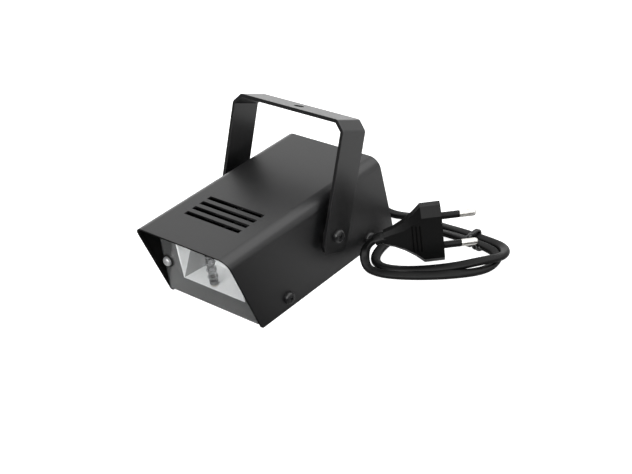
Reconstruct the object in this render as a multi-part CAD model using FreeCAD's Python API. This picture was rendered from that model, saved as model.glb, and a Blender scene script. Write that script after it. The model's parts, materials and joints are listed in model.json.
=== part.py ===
import FreeCAD, Part
import math
import os

# Xenon stroboscope in a folded steel case, hung or stood in a strip bracket.
# Millimetres. +Z up, the lamp faces -Y, +X is the right side seen from behind the lamp.
# The origin lies under the middle of the case, on the surface that the case stands on.

V = FreeCAD.Vector
AXIS_X = V(1, 0, 0)
AXIS_Y = V(0, 1, 0)
AXIS_Z = V(0, 0, 1)

# Case
case_width = 70.0
case_height = 50.0
case_length = 112.0            # along its foot
hood_lean = 17.1               # degrees, front edges lean forward over the window
rear_lean = 7.0                # degrees, rear edges lean forward
cover_sheet = 1.2
cover_bend = 6.5               # outside radius of the two long bends
cover_toe = 2.0                # rounding of the lower corners of the sides
chassis_sheet = 1.0
chassis_bend = 2.0             # outside radius
chassis_fit = 0.15             # gap between chassis and cover on each side
panel_corner = 6.0             # rounded upper corners of the front and rear panels
panel_headroom = 0.4           # gap between the panels and the cover top
rear_inset = 1.5               # rear panel stands this far inside the rear edges
flange_height = 13.0
flange_half_length = 44.0

# Cooling slots in the top
slot_count = 4
slot_pitch = 5.8
slot_width = 3.0
slot_length = 40.4
slot_first_y = -46.5

# Cover screws
screw_spread = 34.0            # each way from the middle, along Y
screw_height = 6.7
cover_screw = {"shank": 3.9, "head": 7.2, "rise": 2.5, "length": 6.0}
screw_clearance = 0.15         # radial, every plain hole for a screw

# Lamp front: window, reflector flange and front panel lie face to face
window_face_y = -57.2
window_sheet = 1.5
window_foot = 3.0
window_side_gap = 0.3
window_top_gap = 2.0
window_corner = 5.5
reflector_sheet = 0.6
mouth_width = 44.0
mouth_low = 14.0
mouth_headroom = 10.8          # mouth to the inside of the cover: bush, pin and lead
reflector_depth = 18.0
reflector_flare = 2.0          # each side wall leans in by this much over its straight part
reflector_curve = 7.0
mouth_clearance = 1.8          # front panel opening round the reflector and its bushes
window_screw = {"shank": 2.9, "head": 5.8, "rise": 2.2, "length": 7.0}
window_screw_inset = 3.8       # from the inside of the cover
window_screw_z = 22.0
window_washer = {"outer": 7.4, "thickness": 0.6}

# Xenon tube, upright across the mouth
tube_diameter = 4.4
tube_set_back = 3.2            # axis behind the window's inner face
tube_end_gap = 0.8
cap_length = 2.6
cap_wall = 0.2
pin_diameter = 0.8
pin_reach = 2.0                # beyond the reflector's end plate
pin_fit = 0.05                 # radial, pin in its bush
grommet_collar = {"diameter": 4.0, "thickness": 0.8}
grommet_neck = 3.4
grommet_fit = 0.1
ring_count = 4
ring_wall = 0.35
trigger_wire = 0.5
trigger_fit = 0.3              # rings and wire stand off the glass
trigger_slack = 0.5            # radial, hole for the wire in the lower end plate
cap_clear = 2.0                # first and last ring from the end caps

# Bracket and its pivots
arm_gap = 3.5                  # between the cover and each arm
strip_width = 19.0
strip_thickness = 2.0
bracket_reach = 62.5           # pivot to the outside of the bar
corner_inset = 5.3             # the folded corners between arms and bar
bracket_bend = 2.6             # outside radius
arm_tail = 10.0                # arm below the pivot
arm_corner = 4.5
bar_hole = 6.0
pivot_y = 3.5
pivot_z = 26.5
rest_tilt = 24.0               # degrees back from upright
pivot_screw = {"shank": 4.9, "head": 7.6, "rise": 2.6}
pivot_fit = 0.05               # radial running fit of the arms on the screws
pivot_side_gap = 0.1           # arm to spacer, and arm to screw head
spacer_diameter = 12.0
nut_across = 8.0
nut_thickness = 3.2

# Rear fittings, places on the rear panel
knob_inset = 23.0              # from the right side of the case
knob_z = 28.0
gland_inset = 10.0             # from the left side of the case
gland_z = 12.0
pot_body = {"diameter": 16.0, "depth": 9.0}
pot_bush = {"diameter": 7.0, "reach": 6.0}
pot_washer = {"diameter": 12.0, "thickness": 0.6}
pot_nut = {"across": 10.0, "thickness": 2.0}
shaft_diameter = 6.0
shaft_fit = 0.06
shaft_end_gap = 0.2
pot_floor = 2.0                # wall behind the shaft
pot_lug_root = 1.5             # each lug starts this far inside the body
shaft_reach = 13.0             # beyond the rear panel's outer face
bore_fit = 0.1                 # bush, gland and screws in their panel holes
knob = {"diameter": 15.0, "skirt": 17.0, "skirt_height": 2.0, "height": 12.0}
knob_lift = 2.6                # skirt from the rear panel
knob_well = {"diameter": 13.0, "depth": 6.0}
knob_crown = 0.8               # bevel round the knob's end
knob_flutes = 12
knob_flute_radius = 0.9
shaft_flat = 5.0               # length of the flat on the shaft's end
pot_lug = {"width": 1.6, "thickness": 0.6, "length": 5.5, "pitch": 4.0, "from_rear": 2.0}
pointer = {"width": 1.2, "length": 5.0, "rise": 0.4, "start": 0.6}
gland_collar = {"diameter": 14.0, "thickness": 2.0}
gland_neck = 10.0
gland_boot_length = 20.0
gland_boot = {"root": 9.5, "tip": 6.4, "ribs": 4, "rib_depth": 0.7}
gland_socket = 4.0             # the lead's end sits this deep in the boot
gland_nut = {"across": 13.0, "thickness": 3.0}
gland_tail = 1.0               # neck beyond its nut

# Circuit board
board = {"width": 52.0, "length": 60.0, "thickness": 1.6}
board_y = 10.0
standoff = {"diameter": 6.0, "height": 6.2}
board_hole_inset = 4.0
board_screw = {"shank": 2.9, "head": 5.4, "rise": 2.0, "length": 5.0}
storage = {"diameter": 16.0, "height": 26.0, "groove": 3.0, "groove_depth": 0.7, "rim": 0.7}
storage_places = ((0.0, 24.0), (17.5, 24.0))
film_cap = {"x": 4.0, "y": -11.0, "length": 17.0, "width": 7.5, "height": 13.5}
transformer = {"x": -12.6, "y": -6.6, "size": 14.0, "height": 15.0, "bobbin": 10.0, "cheek": 2.5}
thyristor = {"x": 20.0, "y": -12.7, "width": 10.0, "thickness": 4.5, "height": 9.0}
thyristor_tab = {"rise": 6.5, "thickness": 1.3, "hole": 3.6}
thyristor_leg = {"height": 3.0, "pitch": 2.54, "width": 1.0, "thickness": 0.6}
resistor = {"x": -13.0, "y": 9.0, "length": 22.0, "width": 7.0, "height": 7.5}
fuse = {"x": 11.5, "y": 9.0, "length": 20.0, "diameter": 5.0, "lift": 4.2}
fuse_cap = 5.0
fuse_cap_wall = 0.25
clip = {"width": 4.0, "sheet": 0.5, "fit": 0.05}
diode = {"diameter": 2.7, "length": 5.0, "span": 8.6, "wire": 0.8, "lift": 0.6}
diode_count = 4
diode_x = 7.5
diode_y = -1.6
diode_pitch = 4.0
terminal = {"x": -18.0, "y": 27.0, "width": 12.0, "length": 9.0, "height": 11.0}
terminal_screw = {"diameter": 3.8, "height": 1.6, "well": 4.2, "depth": 2.6}
entry_depth = 4.0
entry_fit = 0.3                # radial, core in its terminal
core_diameter = 1.8            # insulated core of the inner wiring
core_gap = 0.15                # between the two cores
core_run = 7.0                 # straight run of each core before its terminal
thin_core = 1.2
lead_drop = 2.5                # straight run of a lead at its pin, lug or pad
lead_bow = 4.0                 # height of a lead's bow above the board
lead_spread = 11.0             # lamp lead's pad from the board's middle
pad_inset = 3.0                # pads from the board's edge
rate_pads_x = 12.0             # middle one of the three pads for the potentiometer

# Mains lead
lead_diameter = 4.4
coil_width = 9.8               # two turns side by side
coil_height = 5.0
coil_lift = 0.8                # room for the tie under the turns
coil_edge = 1.5                # bevel round the turns
tie_x = 83.0
tie_y = 67.4                   # middle of the turns where the tie holds them
tie_thickness = 0.5
tie_width = 3.0
tie_fit = 0.12
stand_clear = 2.2              # height of the lead's middle where it lies on the surface

# Europlug, standing on one narrow side
plug_face = V(77.5, 46.8, 0)   # foot of the pin face
plug_heading = 42.3            # degrees from +X, the way the pins point
plug_width = 35.3
plug_thickness = 13.7
plug_chamfer = 4.6
plug_block = 11.0
plug_length = 32.0
plug_neck = {"width": 8.0, "thickness": 7.4}
plug_socket = 3.0              # the lead's end sits this deep in the neck
plug_groove = {"count": 3, "first": 12.2, "pitch": 2.1, "width": 0.9, "depth": 0.5, "length": 17.0}
pin_spacing = 18.6
pin = {"diameter": 4.0, "length": 19.0, "sleeve": 10.0, "wall": 0.9}

# Values that follow from the sizes above
half_width = case_width / 2
half_length = case_length / 2
inner_half = half_width - cover_sheet
chassis_half = inner_half - chassis_fit
cover_inside = case_height - cover_sheet
mouth_high = cover_inside - mouth_headroom
window_screw_x = inner_half - window_screw_inset
knob_x = half_width - knob_inset
gland_x = gland_inset - half_width
panel_top = cover_inside - panel_headroom
hood_run = math.tan(math.radians(hood_lean))
rear_run = math.tan(math.radians(rear_lean))
window_back_y = window_face_y + window_sheet
flange_back_y = window_back_y + reflector_sheet
tube_y = window_back_y + tube_set_back
pivot = V(0, pivot_y, pivot_z)
arm_inner = half_width + arm_gap
arm_outer = arm_inner + strip_thickness
rear_normal = V(0, math.cos(math.radians(rear_lean)), math.sin(math.radians(rear_lean)))
rear_up = V(0, -rear_normal.z, rear_normal.y)
board_top = chassis_sheet + standoff["height"] + board["thickness"]
mouth_middle = (mouth_low + mouth_high) / 2
plug_axis = V(math.cos(math.radians(plug_heading)), math.sin(math.radians(plug_heading)), 0)
plug_side = V(-plug_axis.y, plug_axis.x, 0)
plug_middle = plug_face + AXIS_Z * (plug_width / 2)
plug_tail = plug_middle - plug_axis * plug_length
join_heading = V(10, 0.6, 0).normalize()


# ---------------------------------------------------------------- drawing helpers

def corner_arc(before, corner, after, radius):
    """Start, middle and end of the arc that rounds a corner between two straight runs."""
    back = (before - corner).normalize()
    ahead = (after - corner).normalize()
    half = back.getAngle(ahead) / 2
    middle = (back + ahead).normalize()
    reach = radius / math.tan(half)
    centre = radius / math.sin(half)
    return corner + back * reach, corner + middle * (centre - radius), corner + ahead * reach


def rounded_loop(corners, place):
    """Closed wire through corners (a, b) or (a, b, radius), set in space by place(a, b)."""
    points = [place(c[0], c[1]) for c in corners]
    count = len(points)
    spans = []
    for i, c in enumerate(corners):
        radius = c[2] if len(c) > 2 else 0
        if radius > 0:
            spans.append(corner_arc(points[i - 1], points[i], points[(i + 1) % count], radius))
        else:
            spans.append((points[i], None, points[i]))
    edges = []
    for i, (start, middle, end) in enumerate(spans):
        if middle is not None:
            edges.append(Part.Arc(start, middle, end).toShape())
        following = spans[(i + 1) % count][0]
        if (following - end).Length > 1e-6:
            edges.append(Part.LineSegment(end, following).toShape())
    return Part.Wire(edges)


def plate(corners, place, thickness):
    """Solid of a rounded outline, thickened by a vector."""
    return Part.Face(rounded_loop(corners, place)).extrude(thickness)


def rectangle(a0, a1, b0, b1, radius=0.0):
    return [(a0, b0, radius), (a1, b0, radius), (a1, b1, radius), (a0, b1, radius)]


def cylinder(diameter, height, foot, axis=AXIS_Z):
    return Part.makeCylinder(diameter / 2, height, foot, axis)


def ring(outer, inner, height, foot, axis=AXIS_Z):
    return cylinder(outer, height, foot, axis).cut(cylinder(inner, height, foot, axis))


def hexagon(across, height, foot, axis):
    """Hexagonal prism with two flats level with X."""
    radius = across / math.sqrt(3)
    side = AXIS_X if abs(axis.x) < 0.5 else AXIS_Y
    other = axis.cross(side)
    points = []
    for i in range(7):
        turn = math.radians(60 * i)
        points.append(foot + side * (radius * math.cos(turn)) + other * (radius * math.sin(turn)))
    return Part.Face(Part.makePolygon(points)).extrude(axis * height)


def turned(profile, foot, axis):
    """Solid of revolution; profile points are (radius, height along the axis)."""
    side = axis.cross(AXIS_Z)
    if side.Length < 0.5:
        side = AXIS_X
    side = side.normalize()
    points = [foot + side * r + axis * h for r, h in profile]
    points.append(points[0])
    return Part.Face(Part.makePolygon(points)).revolve(foot, axis, 360)


def box_between(low, high):
    size = high - low
    return Part.makeBox(size.x, size.y, size.z, low)


def offset_corners(corners, distance):
    """Open path moved sideways to its right by a distance, keeping its corners sharp."""
    moved = []
    last = len(corners) - 1
    for i, corner in enumerate(corners):
        here = V(corner[0], corner[1], 0)
        before = V(corners[i - 1][0], corners[i - 1][1], 0) if i > 0 else None
        after = V(corners[i + 1][0], corners[i + 1][1], 0) if i < last else None
        into = (here - before).normalize() if before is not None else (after - here).normalize()
        out = (after - here).normalize() if after is not None else into
        side = V(into.y, -into.x, 0) + V(out.y, -out.x, 0)
        side = side * (2 * distance / side.dot(side))
        moved.append((here.x + side.x, here.y + side.y))
    return moved


def bent_strip(corners, sheet, outer_radius, place, width):
    """Sheet folded along an open path; corners bend away from the side that is thickened."""
    inner = offset_corners(corners, sheet)
    outline = []
    last = len(corners) - 1
    for i, c in enumerate(corners):
        outline.append((c[0], c[1], outer_radius if 0 < i < last else 0))
    for i in range(last, -1, -1):
        outline.append((inner[i][0], inner[i][1], outer_radius - sheet if 0 < i < last else 0))
    return plate(outline, place, width)


def round_path(points):
    """Straight runs joined by tangent arcs, each as large as its two runs allow."""
    edges = []
    radii = []
    start = points[0]
    for before, corner, after in zip(points, points[1:], points[2:]):
        half_turn = (corner - before).getAngle(after - corner) / 2
        run = min((corner - before).Length, (after - corner).Length)
        radius = 0.45 * run / math.tan(half_turn)
        radii.append(radius)
        first, middle, end = corner_arc(before, corner, after, radius)
        edges.append(Part.LineSegment(start, first).toShape())
        edges.append(Part.Arc(first, middle, end).toShape())
        start = end
    edges.append(Part.LineSegment(start, points[-1]).toShape())
    return Part.Wire(edges), radii


def tube_along(points, diameter, name=""):
    """Round solid along a rounded path; prints its bends and checks its volume."""
    path, radii = round_path(points)
    heading = (points[1] - points[0]).normalize()
    section = Part.Wire(Part.Circle(points[0], heading, diameter / 2).toShape())
    solid = path.makePipeShell([section], True, True)
    if name:
        expected = path.Length * math.pi * diameter ** 2 / 4
        print(name, "length", round(path.Length, 1), "volume ratio", round(solid.Volume / expected, 4),
              "radii", [round(r, 1) for r in radii])
    return solid


def wire_along(points, diameter):
    """Thin lead along straight runs: six-sided section, mitred at each corner."""
    last = len(points) - 1
    runs = [(b - a).normalize() for a, b in zip(points, points[1:])]
    side = runs[0].cross(AXIS_X if abs(runs[0].x) < 0.7 else AXIS_Y).normalize()
    other = runs[0].cross(side)
    radius = diameter / 2
    turns = [math.radians(60 * i) for i in range(6)]
    section = [points[0] + side * (radius * math.cos(t)) + other * (radius * math.sin(t)) for t in turns]
    faces = [Part.Face(Part.makePolygon(section + section[:1]))]
    for i, run in enumerate(runs):
        corner = points[i + 1]
        normal = run + runs[i + 1] if i + 1 < last else run
        following = [p + run * ((corner - p).dot(normal) / run.dot(normal)) for p in section]
        for j in range(6):
            k = (j + 1) % 6
            side_points = [section[j], section[k], following[k], following[j], section[j]]
            faces.append(Part.Face(Part.makePolygon(side_points)))
        section = following
    faces.append(Part.Face(Part.makePolygon(section + section[:1])))
    solid = Part.Solid(Part.Shell(faces))
    if solid.Volume < 0:
        solid.reverse()
    return solid


def plain_screw(size, foot, axis):
    """Screw out of sight: shank and bevelled head."""
    head = size["head"] / 2
    shank = size["shank"] / 2
    rise = size["rise"]
    profile = [(0, -size["length"]), (shank, -size["length"]), (shank, 0), (head, 0), (head, rise / 2),
               (head * 0.6, rise), (0, rise)]
    return turned(profile, foot, axis)


def pan_head_screw(size, foot, axis, length=None):
    """Pan-head cross-recess screw; foot is under the head, axis points out of the head."""
    head = size["head"] / 2
    rise = size["rise"]
    reach = length if length is not None else size["length"]
    shank = size["shank"] / 2
    profile = [(0, -reach), (shank, -reach), (shank, 0), (head, 0), (head, rise * 0.45),
               (head * 0.86, rise * 0.82), (head * 0.55, rise), (0, rise)]
    solid = turned(profile, foot, axis)
    side = AXIS_Y if abs(axis.y) < 0.5 else AXIS_X
    other = axis.cross(side)
    arm = head * 0.52
    slit = head * 0.16
    depth = rise * 0.6
    for along, across in ((side, other), (other, side)):
        bar = [foot + axis * (rise + 0.1) + along * (arm * a) + across * (slit * b)
               for a, b in ((-1, -1), (1, -1), (1, 1), (-1, 1), (-1, -1))]
        solid = solid.cut(Part.Face(Part.makePolygon(bar)).extrude(axis * -depth))
    return solid


# ---------------------------------------------------------------- case

def case_outline(inset=0.0):
    """Side view of the case, foot corners rounded as the sheet's toes are."""
    return [(-half_length + inset, 0, cover_toe),
            (half_length - inset, 0, cover_toe),
            (half_length - inset - case_height * rear_run, case_height),
            (-half_length + inset - case_height * hood_run, case_height)]


def rear_face_y(z):
    """Outer face of the rear panel at a height."""
    return half_length - rear_inset - z * rear_run


def rear_point(x, z, out=0.0):
    """Point on the rear panel's outer face, moved out along its normal."""
    return V(x, rear_face_y(z), z) + rear_normal * out


def cover_screw_places():
    for side in (-1, 1):
        for y in (-screw_spread, screw_spread):
            yield side, y


def make_cover():
    reach = case_length
    fold = [(-half_width, 0), (-half_width, case_height), (half_width, case_height), (half_width, 0)]
    channel = bent_strip(fold, cover_sheet, cover_bend, lambda a, b: V(a, -reach, b), AXIS_Y * (2 * reach))
    trim = plate(case_outline(), lambda a, b: V(-case_width, a, b), AXIS_X * (2 * case_width))
    cover = channel.common(trim)
    for i in range(slot_count):
        y = slot_first_y + i * slot_pitch
        low = V(-slot_length / 2, y - slot_width / 2, case_height - 2 * cover_sheet)
        high = V(slot_length / 2, y + slot_width / 2, case_height + cover_sheet)
        cover = cover.cut(box_between(low, high))
    hole = cover_screw["shank"] + 2 * screw_clearance
    pivot_hole = pivot_screw["shank"] + 2 * screw_clearance
    for side, y in cover_screw_places():
        foot = V(side * (half_width + cover_sheet), y, screw_height)
        cover = cover.cut(cylinder(hole, 3 * cover_sheet, foot, AXIS_X * -side))
    for side in (-1, 1):
        foot = V(side * (half_width + cover_sheet), pivot_y, pivot_z)
        cover = cover.cut(cylinder(pivot_hole, 3 * cover_sheet, foot, AXIS_X * -side))
    return cover


def make_chassis():
    front_y = flange_back_y
    lean_top = rear_face_y(panel_top)
    fold = [(front_y, panel_top), (front_y, 0), (rear_face_y(0), 0), (lean_top, panel_top)]
    strip = bent_strip(fold[::-1], chassis_sheet, chassis_bend,
                       lambda a, b: V(-chassis_half, a, b), AXIS_X * (2 * chassis_half))
    panel = rectangle(-chassis_half, chassis_half, -1, panel_top)
    panel[2] = (chassis_half, panel_top, panel_corner)
    panel[3] = (-chassis_half, panel_top, panel_corner)
    strip = strip.common(plate(panel, lambda a, b: V(a, -case_length, b), AXIS_Y * (2 * case_length)))
    for side in (-1, 1):
        edge = sorted((side * (chassis_half - chassis_bend), side * (chassis_half + 1)))
        strip = strip.cut(box_between(V(edge[0], -flange_half_length, -1),
                                      V(edge[1], flange_half_length, chassis_bend * 2)))
    channel = [(chassis_half, flange_height), (chassis_half, 0), (-chassis_half, 0),
               (-chassis_half, flange_height)]
    flanges = bent_strip(channel, chassis_sheet, chassis_bend,
                         lambda a, b: V(a, -flange_half_length, b), AXIS_Y * (2 * flange_half_length))
    chassis = strip.fuse(flanges).removeSplitter()
    hole = cover_screw["shank"] + 2 * screw_clearance
    for side, y in cover_screw_places():
        chassis = chassis.cut(cylinder(hole, 4 * chassis_sheet, V(side * (chassis_half + 1), y, screw_height),
                                       AXIS_X * -side))
    opening = mouth_block(mouth_clearance + reflector_sheet, flange_back_y - 1, 4 * chassis_sheet)
    chassis = chassis.cut(opening)
    for foot in window_screw_feet():
        chassis = chassis.cut(cylinder(window_screw["shank"] + 2 * screw_clearance, 10, foot, AXIS_Y))
    bush = pot_bush["diameter"] + 2 * bore_fit
    chassis = chassis.cut(cylinder(bush, 6, rear_point(knob_x, knob_z, 2), rear_normal * -1))
    neck = gland_neck + 2 * bore_fit
    chassis = chassis.cut(cylinder(neck, 6, rear_point(gland_x, gland_z, 2), rear_normal * -1))
    return chassis


# ---------------------------------------------------------------- lamp front

def mouth_block(grow, y, depth):
    """Prism of the reflector's mouth, grown all round."""
    low = V(-mouth_width / 2 - grow, y, mouth_low - grow)
    high = V(mouth_width / 2 + grow, y + depth, mouth_high + grow)
    return box_between(low, high)


def front_sheet(y, thickness):
    """Flat plate that fills the front between the sides of the cover."""
    side = inner_half - window_side_gap
    corners = rectangle(-side, side, window_foot, cover_inside - window_top_gap)
    corners[2] = (side, cover_inside - window_top_gap, window_corner)
    corners[3] = (-side, cover_inside - window_top_gap, window_corner)
    solid = plate(corners, lambda a, b: V(a, y, b), AXIS_Y * thickness)
    for foot in window_screw_feet():
        solid = solid.cut(cylinder(window_screw["shank"] + 2 * screw_clearance, 20, foot, AXIS_Y))
    return solid


def window_screw_feet():
    """Points in front of the window on the two screws' axes."""
    for side in (-1, 1):
        yield V(side * window_screw_x, window_face_y - 5, window_screw_z)


def make_window():
    return front_sheet(window_face_y, window_sheet)


def make_window_washers():
    solids = []
    for side in (-1, 1):
        foot = V(side * window_screw_x, window_face_y - window_washer["thickness"], window_screw_z)
        inner = window_screw["shank"] + 2 * screw_clearance
        solids.append(ring(window_washer["outer"], inner, window_washer["thickness"], foot, AXIS_Y))
    return Part.makeCompound(solids)


def make_window_screws():
    solids = []
    for side in (-1, 1):
        foot = V(side * window_screw_x, window_face_y - window_washer["thickness"], window_screw_z)
        solids.append(pan_head_screw(window_screw, foot, AXIS_Y * -1))
    return Part.makeCompound(solids)


def reflector_plan(grow):
    """Half-open plan of the reflector bowl: flared sides, curved corners, flat back."""
    mouth = mouth_width / 2 + grow
    deep = flange_back_y - reflector_sheet + reflector_depth + grow
    waist = mouth_width / 2 - reflector_flare + grow
    curve = reflector_curve + grow
    front = flange_back_y - reflector_sheet
    return [(-mouth, front), (mouth, front), (waist, deep, curve), (-waist, deep, curve)]


def make_reflector():
    height = mouth_high - mouth_low
    outer = plate(reflector_plan(reflector_sheet),
                  lambda a, b: V(a, b, mouth_low - reflector_sheet),
                  AXIS_Z * (height + 2 * reflector_sheet))
    inner = plate(reflector_plan(0), lambda a, b: V(a, b, mouth_low), AXIS_Z * height)
    solid = front_sheet(window_back_y, reflector_sheet).fuse(outer).cut(inner)
    hole = grommet_neck + 2 * grommet_fit
    solid = solid.cut(cylinder(hole, case_height, V(0, tube_y, 0)))
    wire_hole = trigger_wire + 2 * trigger_slack
    return solid.cut(cylinder(wire_hole, mouth_middle, V(0, tube_y + trigger_offset(), 0)))


def make_grommets():
    """Silicone bushes in the end plates; each carries one pin of the tube."""
    solids = []
    for end, way in ((mouth_low - reflector_sheet, -1), (mouth_high + reflector_sheet, 1)):
        foot = V(0, tube_y, end)
        axis = AXIS_Z * way
        collar = cylinder(grommet_collar["diameter"], grommet_collar["thickness"], foot, axis)
        collar = collar.fuse(cylinder(grommet_neck, reflector_sheet, foot, axis * -1))
        collar = collar.cut(cylinder(pin_diameter + 2 * pin_fit, 2 * pin_reach, foot - axis * pin_reach, axis))
        solids.append(collar)
    return Part.makeCompound(solids)


def tube_span():
    return mouth_low + tube_end_gap, mouth_high - tube_end_gap


def make_tube():
    low, high = tube_span()
    glass = cylinder(tube_diameter, high - low - 2 * cap_length, V(0, tube_y, low + cap_length))
    return glass


def make_end_caps():
    """Metal end cap and solder pin at each end of the glass."""
    low, high = tube_span()
    solids = []
    for end, way, plate_z in ((low, 1, mouth_low - reflector_sheet), (high, -1, mouth_high + reflector_sheet)):
        axis = AXIS_Z * way
        wide = tube_diameter / 2 + cap_wall
        cap = turned([(0, 0), (wide * 0.7, 0), (wide, 0.6), (wide, cap_length), (0, cap_length)],
                     V(0, tube_y, end), axis)
        reach = abs(end - plate_z) + pin_reach
        solids.append(cap.fuse(cylinder(pin_diameter, reach, V(0, tube_y, end), axis * -1)))
    return Part.makeCompound(solids)


def trigger_offset():
    """Distance of the upright trigger wire behind the tube's axis."""
    return tube_diameter / 2 + trigger_fit + trigger_wire / 2


def make_trigger_coil():
    """Trigger electrode: rings round the glass on one upright wire."""
    low, high = tube_span()
    radius = trigger_offset()
    foot = mouth_low - reflector_sheet - pin_reach
    first = low + cap_length + cap_clear
    last = high - cap_length - cap_clear
    wire = cylinder(trigger_wire, last + trigger_wire - foot, V(0, tube_y + radius, foot))
    inner = tube_diameter + 2 * trigger_fit
    for i in range(ring_count):
        z = first + (last - first) * i / (ring_count - 1)
        wire = wire.fuse(ring(inner + 2 * ring_wall, inner, trigger_wire, V(0, tube_y, z)))
    return wire


# ---------------------------------------------------------------- bracket

def tilted(shape):
    """Turn a bracket shape, drawn upright about the pivot, back to its rest tilt."""
    turned_shape = shape.copy()
    turned_shape.rotate(pivot, AXIS_X, -rest_tilt)
    return turned_shape


def make_bracket():
    top = pivot_z + bracket_reach
    shoulder = top - corner_inset
    foot = pivot_z - arm_tail
    knee = arm_outer - corner_inset
    fold = [(-arm_outer, foot), (-arm_outer, shoulder), (-knee, top), (knee, top), (arm_outer, shoulder),
            (arm_outer, foot)]
    strip = bent_strip(fold, strip_thickness, bracket_bend,
                       lambda a, b: V(a, pivot_y - strip_width / 2, b), AXIS_Y * strip_width)
    side = rectangle(pivot_y - strip_width / 2, pivot_y + strip_width / 2, foot, top + 1)
    side[0] = (side[0][0], foot, arm_corner)
    side[1] = (side[1][0], foot, arm_corner)
    strip = strip.common(plate(side, lambda a, b: V(-case_width, a, b), AXIS_X * (2 * case_width)))
    bore = pivot_screw["shank"] + 2 * pivot_fit
    strip = strip.cut(cylinder(bore, 2 * case_width, V(-case_width, pivot_y, pivot_z), AXIS_X))
    strip = strip.cut(cylinder(bar_hole, 3 * strip_thickness, V(0, pivot_y, top - 2 * strip_thickness)))
    return tilted(strip)


def make_pivot_spacers():
    solids = []
    inner = pivot_screw["shank"] + 2 * screw_clearance
    thickness = arm_inner - pivot_side_gap - half_width
    for side in (-1, 1):
        foot = V(side * half_width, pivot_y, pivot_z)
        solids.append(ring(spacer_diameter, inner, thickness, foot, AXIS_X * side))
    return Part.makeCompound(solids)


def make_pivot_screws():
    solids = []
    under_head = arm_outer + pivot_side_gap
    length = under_head - inner_half + nut_thickness + 1.0
    for side in (-1, 1):
        foot = V(side * under_head, pivot_y, pivot_z)
        solids.append(pan_head_screw(pivot_screw, foot, AXIS_X * side, length))
    return Part.makeCompound(solids)


def make_pivot_nuts():
    solids = []
    bore = pivot_screw["shank"] + 2 * bore_fit
    for side in (-1, 1):
        foot = V(side * inner_half, pivot_y, pivot_z)
        nut = hexagon(nut_across, nut_thickness, foot, AXIS_X * -side)
        solids.append(nut.cut(cylinder(bore, nut_thickness, foot, AXIS_X * -side)))
    return Part.makeCompound(solids)


def make_cover_screws():
    return Part.makeCompound([pan_head_screw(cover_screw, V(side * half_width, y, screw_height), AXIS_X * side)
                              for side, y in cover_screw_places()])


# ---------------------------------------------------------------- rear fittings

def make_potentiometer():
    inside = -chassis_sheet
    body = cylinder(pot_body["diameter"], pot_body["depth"],
                    rear_point(knob_x, knob_z, inside - pot_body["depth"]), rear_normal)
    bush = cylinder(pot_bush["diameter"], pot_bush["reach"] + chassis_sheet, rear_point(knob_x, knob_z, inside),
                    rear_normal)
    solid = body.fuse(bush)
    bore = shaft_diameter + 2 * shaft_fit
    solid = solid.cut(cylinder(bore, shaft_length(), rear_point(knob_x, knob_z, shaft_start()), rear_normal))
    for foot in lug_feet():
        width = pot_lug["width"]
        lug = Part.makeBox(width, pot_lug["thickness"], pot_lug["length"], V(-width / 2, 0, 0))
        lug.rotate(V(0, 0, 0), AXIS_X, rear_lean)
        lug.translate(foot)
        solid = solid.fuse(lug)
    return solid


def lug_feet():
    """Lower ends of the three solder lugs under the potentiometer."""
    back = pot_lug["from_rear"] - chassis_sheet - pot_body["depth"]
    for i in (-1, 0, 1):
        middle = rear_point(knob_x + i * pot_lug["pitch"], knob_z, back)
        yield middle - rear_up * (pot_body["diameter"] / 2 + pot_lug["length"] - pot_lug_root)


def shaft_start():
    """Inner end of the shaft's bore, measured out from the rear panel."""
    return pot_floor - chassis_sheet - pot_body["depth"]


def shaft_length():
    return shaft_reach - shaft_start()


def make_pot_washer():
    bore = pot_bush["diameter"] + 2 * bore_fit
    return ring(pot_washer["diameter"], bore, pot_washer["thickness"], rear_point(knob_x, knob_z), rear_normal)


def make_pot_nut():
    foot = rear_point(knob_x, knob_z, pot_washer["thickness"])
    nut = hexagon(pot_nut["across"], pot_nut["thickness"], foot, rear_normal)
    return nut.cut(cylinder(pot_bush["diameter"] + 2 * bore_fit, pot_nut["thickness"], foot, rear_normal))


def make_pot_shaft():
    start = shaft_start() + shaft_end_gap
    shaft = cylinder(shaft_diameter, shaft_reach - start, rear_point(knob_x, knob_z, start), rear_normal)
    corner = V(-shaft_diameter / 2, 0, shaft_diameter / 4)
    flat = Part.makeBox(shaft_diameter, shaft_flat, shaft_diameter, corner)
    flat.rotate(V(0, 0, 0), AXIS_X, rear_lean)
    flat.translate(rear_point(knob_x, knob_z, shaft_reach - shaft_flat))
    return shaft.cut(flat)


def make_knob():
    """Fluted knob, hollow under its skirt where it covers the nut."""
    start = knob_lift
    skirt = knob["skirt"] / 2
    grip = knob["diameter"] / 2
    height = knob["height"]
    profile = [(0, 0), (skirt, 0), (skirt, knob["skirt_height"]), (grip, knob["skirt_height"]),
               (grip - knob_crown / 2, height - knob_crown), (grip - 1.5 * knob_crown, height), (0, height)]
    solid = turned(profile, rear_point(knob_x, knob_z, start), rear_normal)
    for i in range(knob_flutes):
        turn = 2 * math.pi * i / knob_flutes
        side = AXIS_X * math.cos(turn) + rear_up * math.sin(turn)
        foot = rear_point(knob_x, knob_z, start + knob["skirt_height"]) + side * (grip + knob_flute_radius / 2)
        solid = solid.cut(cylinder(2 * knob_flute_radius, height, foot, rear_normal))
    under = rear_point(knob_x, knob_z, start)
    solid = solid.cut(cylinder(knob_well["diameter"], knob_well["depth"], under, rear_normal))
    return solid.cut(cylinder(shaft_diameter, shaft_reach - start, under, rear_normal))


def make_knob_pointer():
    """Raised white line on the knob's end, pointing up at mid travel."""
    start = rear_point(knob_x, knob_z, knob_lift + knob["height"])
    line = Part.makeBox(pointer["width"], pointer["rise"], pointer["length"],
                        V(-pointer["width"] / 2, 0, pointer["start"]))
    line.rotate(V(0, 0, 0), AXIS_X, rear_lean)
    line.translate(start)
    return line


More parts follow.
